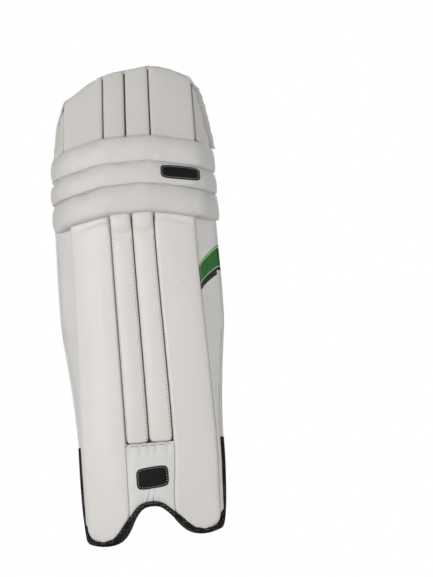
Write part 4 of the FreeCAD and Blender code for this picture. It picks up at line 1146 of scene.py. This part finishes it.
def stitching():
    """Rows of thread beside the seams."""
    for name, side in SIDES:
        # beside the valleys between the shin's panels
        rows = (
            ("inner", PIECES["narrow_left"],
             line_down(-1.6 * MM, FRONT_Y + 1.5 * MM, 430 * MM, 142 * MM)),
            ("outer", PIECES[f"narrow_{name}"],
             line_down(side * (NARROW - 2.4 * MM), FRONT_Y + 1.6 * MM, 430 * MM, 142 * MM)),
        )
        for kind, piece, path in rows:
            if kind == "inner" and side > 0:
                continue
            sew(f"shin_{kind}_stitching_{name}", piece, path, dark_thread, "shin",
                2.2 * MM, 3.4 * MM, 0.4 * MM)
        # along the wing, behind the wide panel and in front of its back tape
        wing = PIECES[f"wing_{name}"]
        for kind, along, colour in (("front", 3.0 * MM, thread), ("back", None, dark_thread)):
            path = []
            for k in range(100):
                z = 450 * MM - k * 4.1 * MM
                reach = along if along is not None else back_edge(z) - 9.5 * MM
                at = wing_point(reach, -2 * MM)
                path.append(belly(Vector((side * at.x, at.y, z))))
            sew(f"wing_{kind}_stitching_{name}", wing, path, colour, "shin",
                2.4 * MM, 2.0 * MM, 0.35 * MM)
        # down the shin's and the knee's back tapes
        for tape, body in ((f"side_tape_{name}", "shin"), (f"knee_tape_{name}", "knee")):
            low, high = (142 * MM, 470 * MM) if body == "shin" else (475 * MM, 576 * MM)
            path = []
            for k in range(80):
                z = high - (high - low) * k / 79
                at = wing_point(back_edge(z) - 6.2 * MM, 0)
                spot = Vector((side * at.x, at.y, z))
                path.append(belly(spot) if body == "shin" else knee_side(spot))
            sew(f"{body}_tape_stitching_{name}", PIECES[tape], path, thread, body,
                2.4 * MM, 1.8 * MM, 0.4 * MM)
        # dimpled row where the knee rolls meet their back tape
        line = leg_line(-13 * MM, -16.5 * MM, WING + 1 * MM, radii=(0.09, 0.05))
        for level in ("lower", "middle", "upper"):
            piece = PIECES[f"roll_{level}"]
            at = line.at(side * (line.half_length - 1.5 * MM), 2 * MM)
            zs = [v.co.z for v in piece.data.vertices]
            low, high = min(zs) + 12 * MM, max(zs) - 14 * MM
            path = line_down(at.x, at.y, high, low, 20)
            sew(f"knee_roll_{level}_end_stitching_{name}", piece, path, dark_thread, "knee",
                2.4 * MM, 2.0 * MM, 0.4 * MM)
    # under each knee roll, and along the foot of the top hat
    line = leg_line(-13 * MM, -16.5 * MM, WING - 3 * MM, radii=(0.09, 0.05))
    for level, z in (("middle", 505.5 * MM), ("upper", 537.5 * MM)):
        path = []
        for k in range(160):
            at = line.at((k / 79.5 - 1) * line.half_length, 4.5 * MM)
            path.append(Vector((at.x, at.y, z - droop(at.x))))
        sew(f"knee_roll_{level}_stitching", PIECES[f"roll_{level}"], path, dark_thread, "knee",
            2.4 * MM, 2.2 * MM, 0.6 * MM)
    for name, side in SIDES:
        for kind, low, high in (("narrow", 2, 30), ("wide", 33, 88)):
            path = []
            for k in range(40):
                x = side * (low + (high - low) * k / 39) * MM
                deep = max(0.0, abs(x) - NARROW) * math.tan(WIDE_TILT)
                path.append(hat_shape(HAT_FOOT + Vector((
                    x, deep * math.cos(LEAN) + 6 * MM * math.sin(LEAN),
                    6 * MM * math.cos(LEAN) - deep * math.sin(LEAN),
                ))) + Vector((0, -3 * MM, 0)))
            sew(f"top_hat_{kind}_stitching_{name}", PIECES[f"hat_{kind}_{name}"], path, thread,
                "top_hat", 2.6 * MM, 2.0 * MM, 0.8 * MM)
    path = [Vector((x * MM, FRONT_Y - 1 * MM, 136.5 * MM)) for x in range(-29, 30)]
    sew("instep_stitching", PIECES["instep"], path, dark_thread, "shin",
        2.6 * MM, 2.2 * MM, 0.8 * MM)


# --- straps --------------------------------------------------------------------------------------
def straps():
    """Striped webbing with softened edges, sewn down at the root and hooked at the free end."""
    for name, body in (("knee", "knee"), ("calf", "shin"), ("ankle", "shin")):
        low, high = (corner.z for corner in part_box(f"{name}_strap_band"))
        stripes = webbing(f"{name} strap webbing", low, high)
        for part, rides_on in (
            ("band", f"{name}_band"), ("end", f"{name}_tail"), ("root", body), ("loop", body),
        ):
            cad_name = f"{name}_strap_{part}"
            piece = copy_of(cad_name, f"{name}_strap_{part}_webbing")
            edit_all(piece, (bpy.ops.mesh.dissolve_limited, {"angle_limit": math.radians(4)}))
            apply(piece, "BEVEL", width=WEBBING_EDGE, segments=2, limit_method="ANGLE",
                  angle_limit=math.radians(50))
            edit_all(piece, (bpy.ops.mesh.quads_convert_to_tris, {}))
            finish(piece, loop_tape if part == "loop" else stripes, rides_on, angle=35)
            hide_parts(cad_name)
            PIECES[cad_name] = piece
        z_low, z_high = low + 5 * MM, high - 5 * MM
        inner = wing_point(back_edge((low + high) / 2) - 22 * MM, 20 * MM)
        outer = wing_point(back_edge((low + high) / 2) - 6 * MM, 20 * MM)
        corners = [
            Vector((inner.x, inner.y, z_low)), Vector((outer.x, outer.y, z_low)),
            Vector((outer.x, outer.y, z_high)), Vector((inner.x, inner.y, z_high)),
            Vector((inner.x, inner.y, z_low)), Vector((outer.x, outer.y, z_high)),
            Vector((outer.x, outer.y, z_low)), Vector((inner.x, inner.y, z_high)),
        ]
        sew(f"{name}_strap_stitching", PIECES[f"{name}_strap_root"], corners, thread, body,
            2.2 * MM, 1.4 * MM, 0.4 * MM)


shin_panels()
wings()
instep()
knee_rolls()
top_hat()
bindings()
linings()
gussets()
badges()
stitching()
straps()


# --- stage, light and camera ---------------------------------------------------------------------
def stage():
    bpy.ops.object.select_all(action="DESELECT")
    bpy.ops.mesh.primitive_plane_add(size=6)
    floor = bpy.context.active_object
    floor.name = "floor"
    material, tree, shader = new_material("pale floor", (0.86, 0.86, 0.86), 0.8)
    path = node(tree, "ShaderNodeLightPath").outputs["Is Camera Ray"]
    beneath = node(tree, "ShaderNodeNewGeometry").outputs["Backfacing"]
    clear = node(tree, "ShaderNodeBsdfTransparent").outputs[0]
    mixed = node(
        tree, "ShaderNodeMixShader",
        {0: maths(tree, "MULTIPLY", path, beneath), 1: shader.outputs[0], 2: clear},
    )
    output = next(n for n in tree.nodes if n.type == "OUTPUT_MATERIAL")
    tree.links.new(mixed.outputs[0], output.inputs["Surface"])
    floor.data.materials.append(material)

    world = bpy.data.worlds.new("studio")
    bpy.context.scene.world = world
    world.use_nodes = True
    tree = world.node_tree
    rays = node(tree, "ShaderNodeLightPath").outputs
    seen = maths(tree, "MAXIMUM", rays["Is Camera Ray"], rays["Is Transmission Ray"])
    strength = maths(tree, "MULTIPLY_ADD", seen, 1 - 0.34, 0.34)
    background = tree.nodes["Background"]
    background.inputs["Color"].default_value = (1, 1, 1, 1)
    tree.links.new(strength, background.inputs["Strength"])

    for name, place, size, power in (
        ("key", (-1.8, -2.5, 0.75), 1.2, 46),
        ("fill", (2.3, -1.5, 0.15), 1.5, 28),
        ("back", (0.2, 2.2, 1.6), 1.8, 20),
    ):
        lamp = bpy.data.lights.new(name, "AREA")
        lamp.shape = "DISK"
        lamp.size = size
        lamp.energy = power
        holder = bpy.data.objects.new(name, lamp)
        bpy.context.scene.collection.objects.link(holder)
        holder.location = place
        towards = Vector((0, 0, 0.34)) - Vector(place)
        holder.rotation_euler = towards.to_track_quat("-Z", "Y").to_euler()


def camera():
    data = bpy.data.cameras.new("camera")
    data.sensor_fit = "VERTICAL"
    data.sensor_height = 36
    data.lens = 128.8
    holder = bpy.data.objects.new("camera", data)
    bpy.context.scene.collection.objects.link(holder)
    holder.location = (0.2363, -2.9105, -0.0667)
    holder.rotation_euler = [math.radians(a) for a in (98.22, 4.474, 3.095)]
    bpy.context.scene.camera = holder


stage()
camera()
bpy.context.scene.view_settings.view_transform = "Standard"
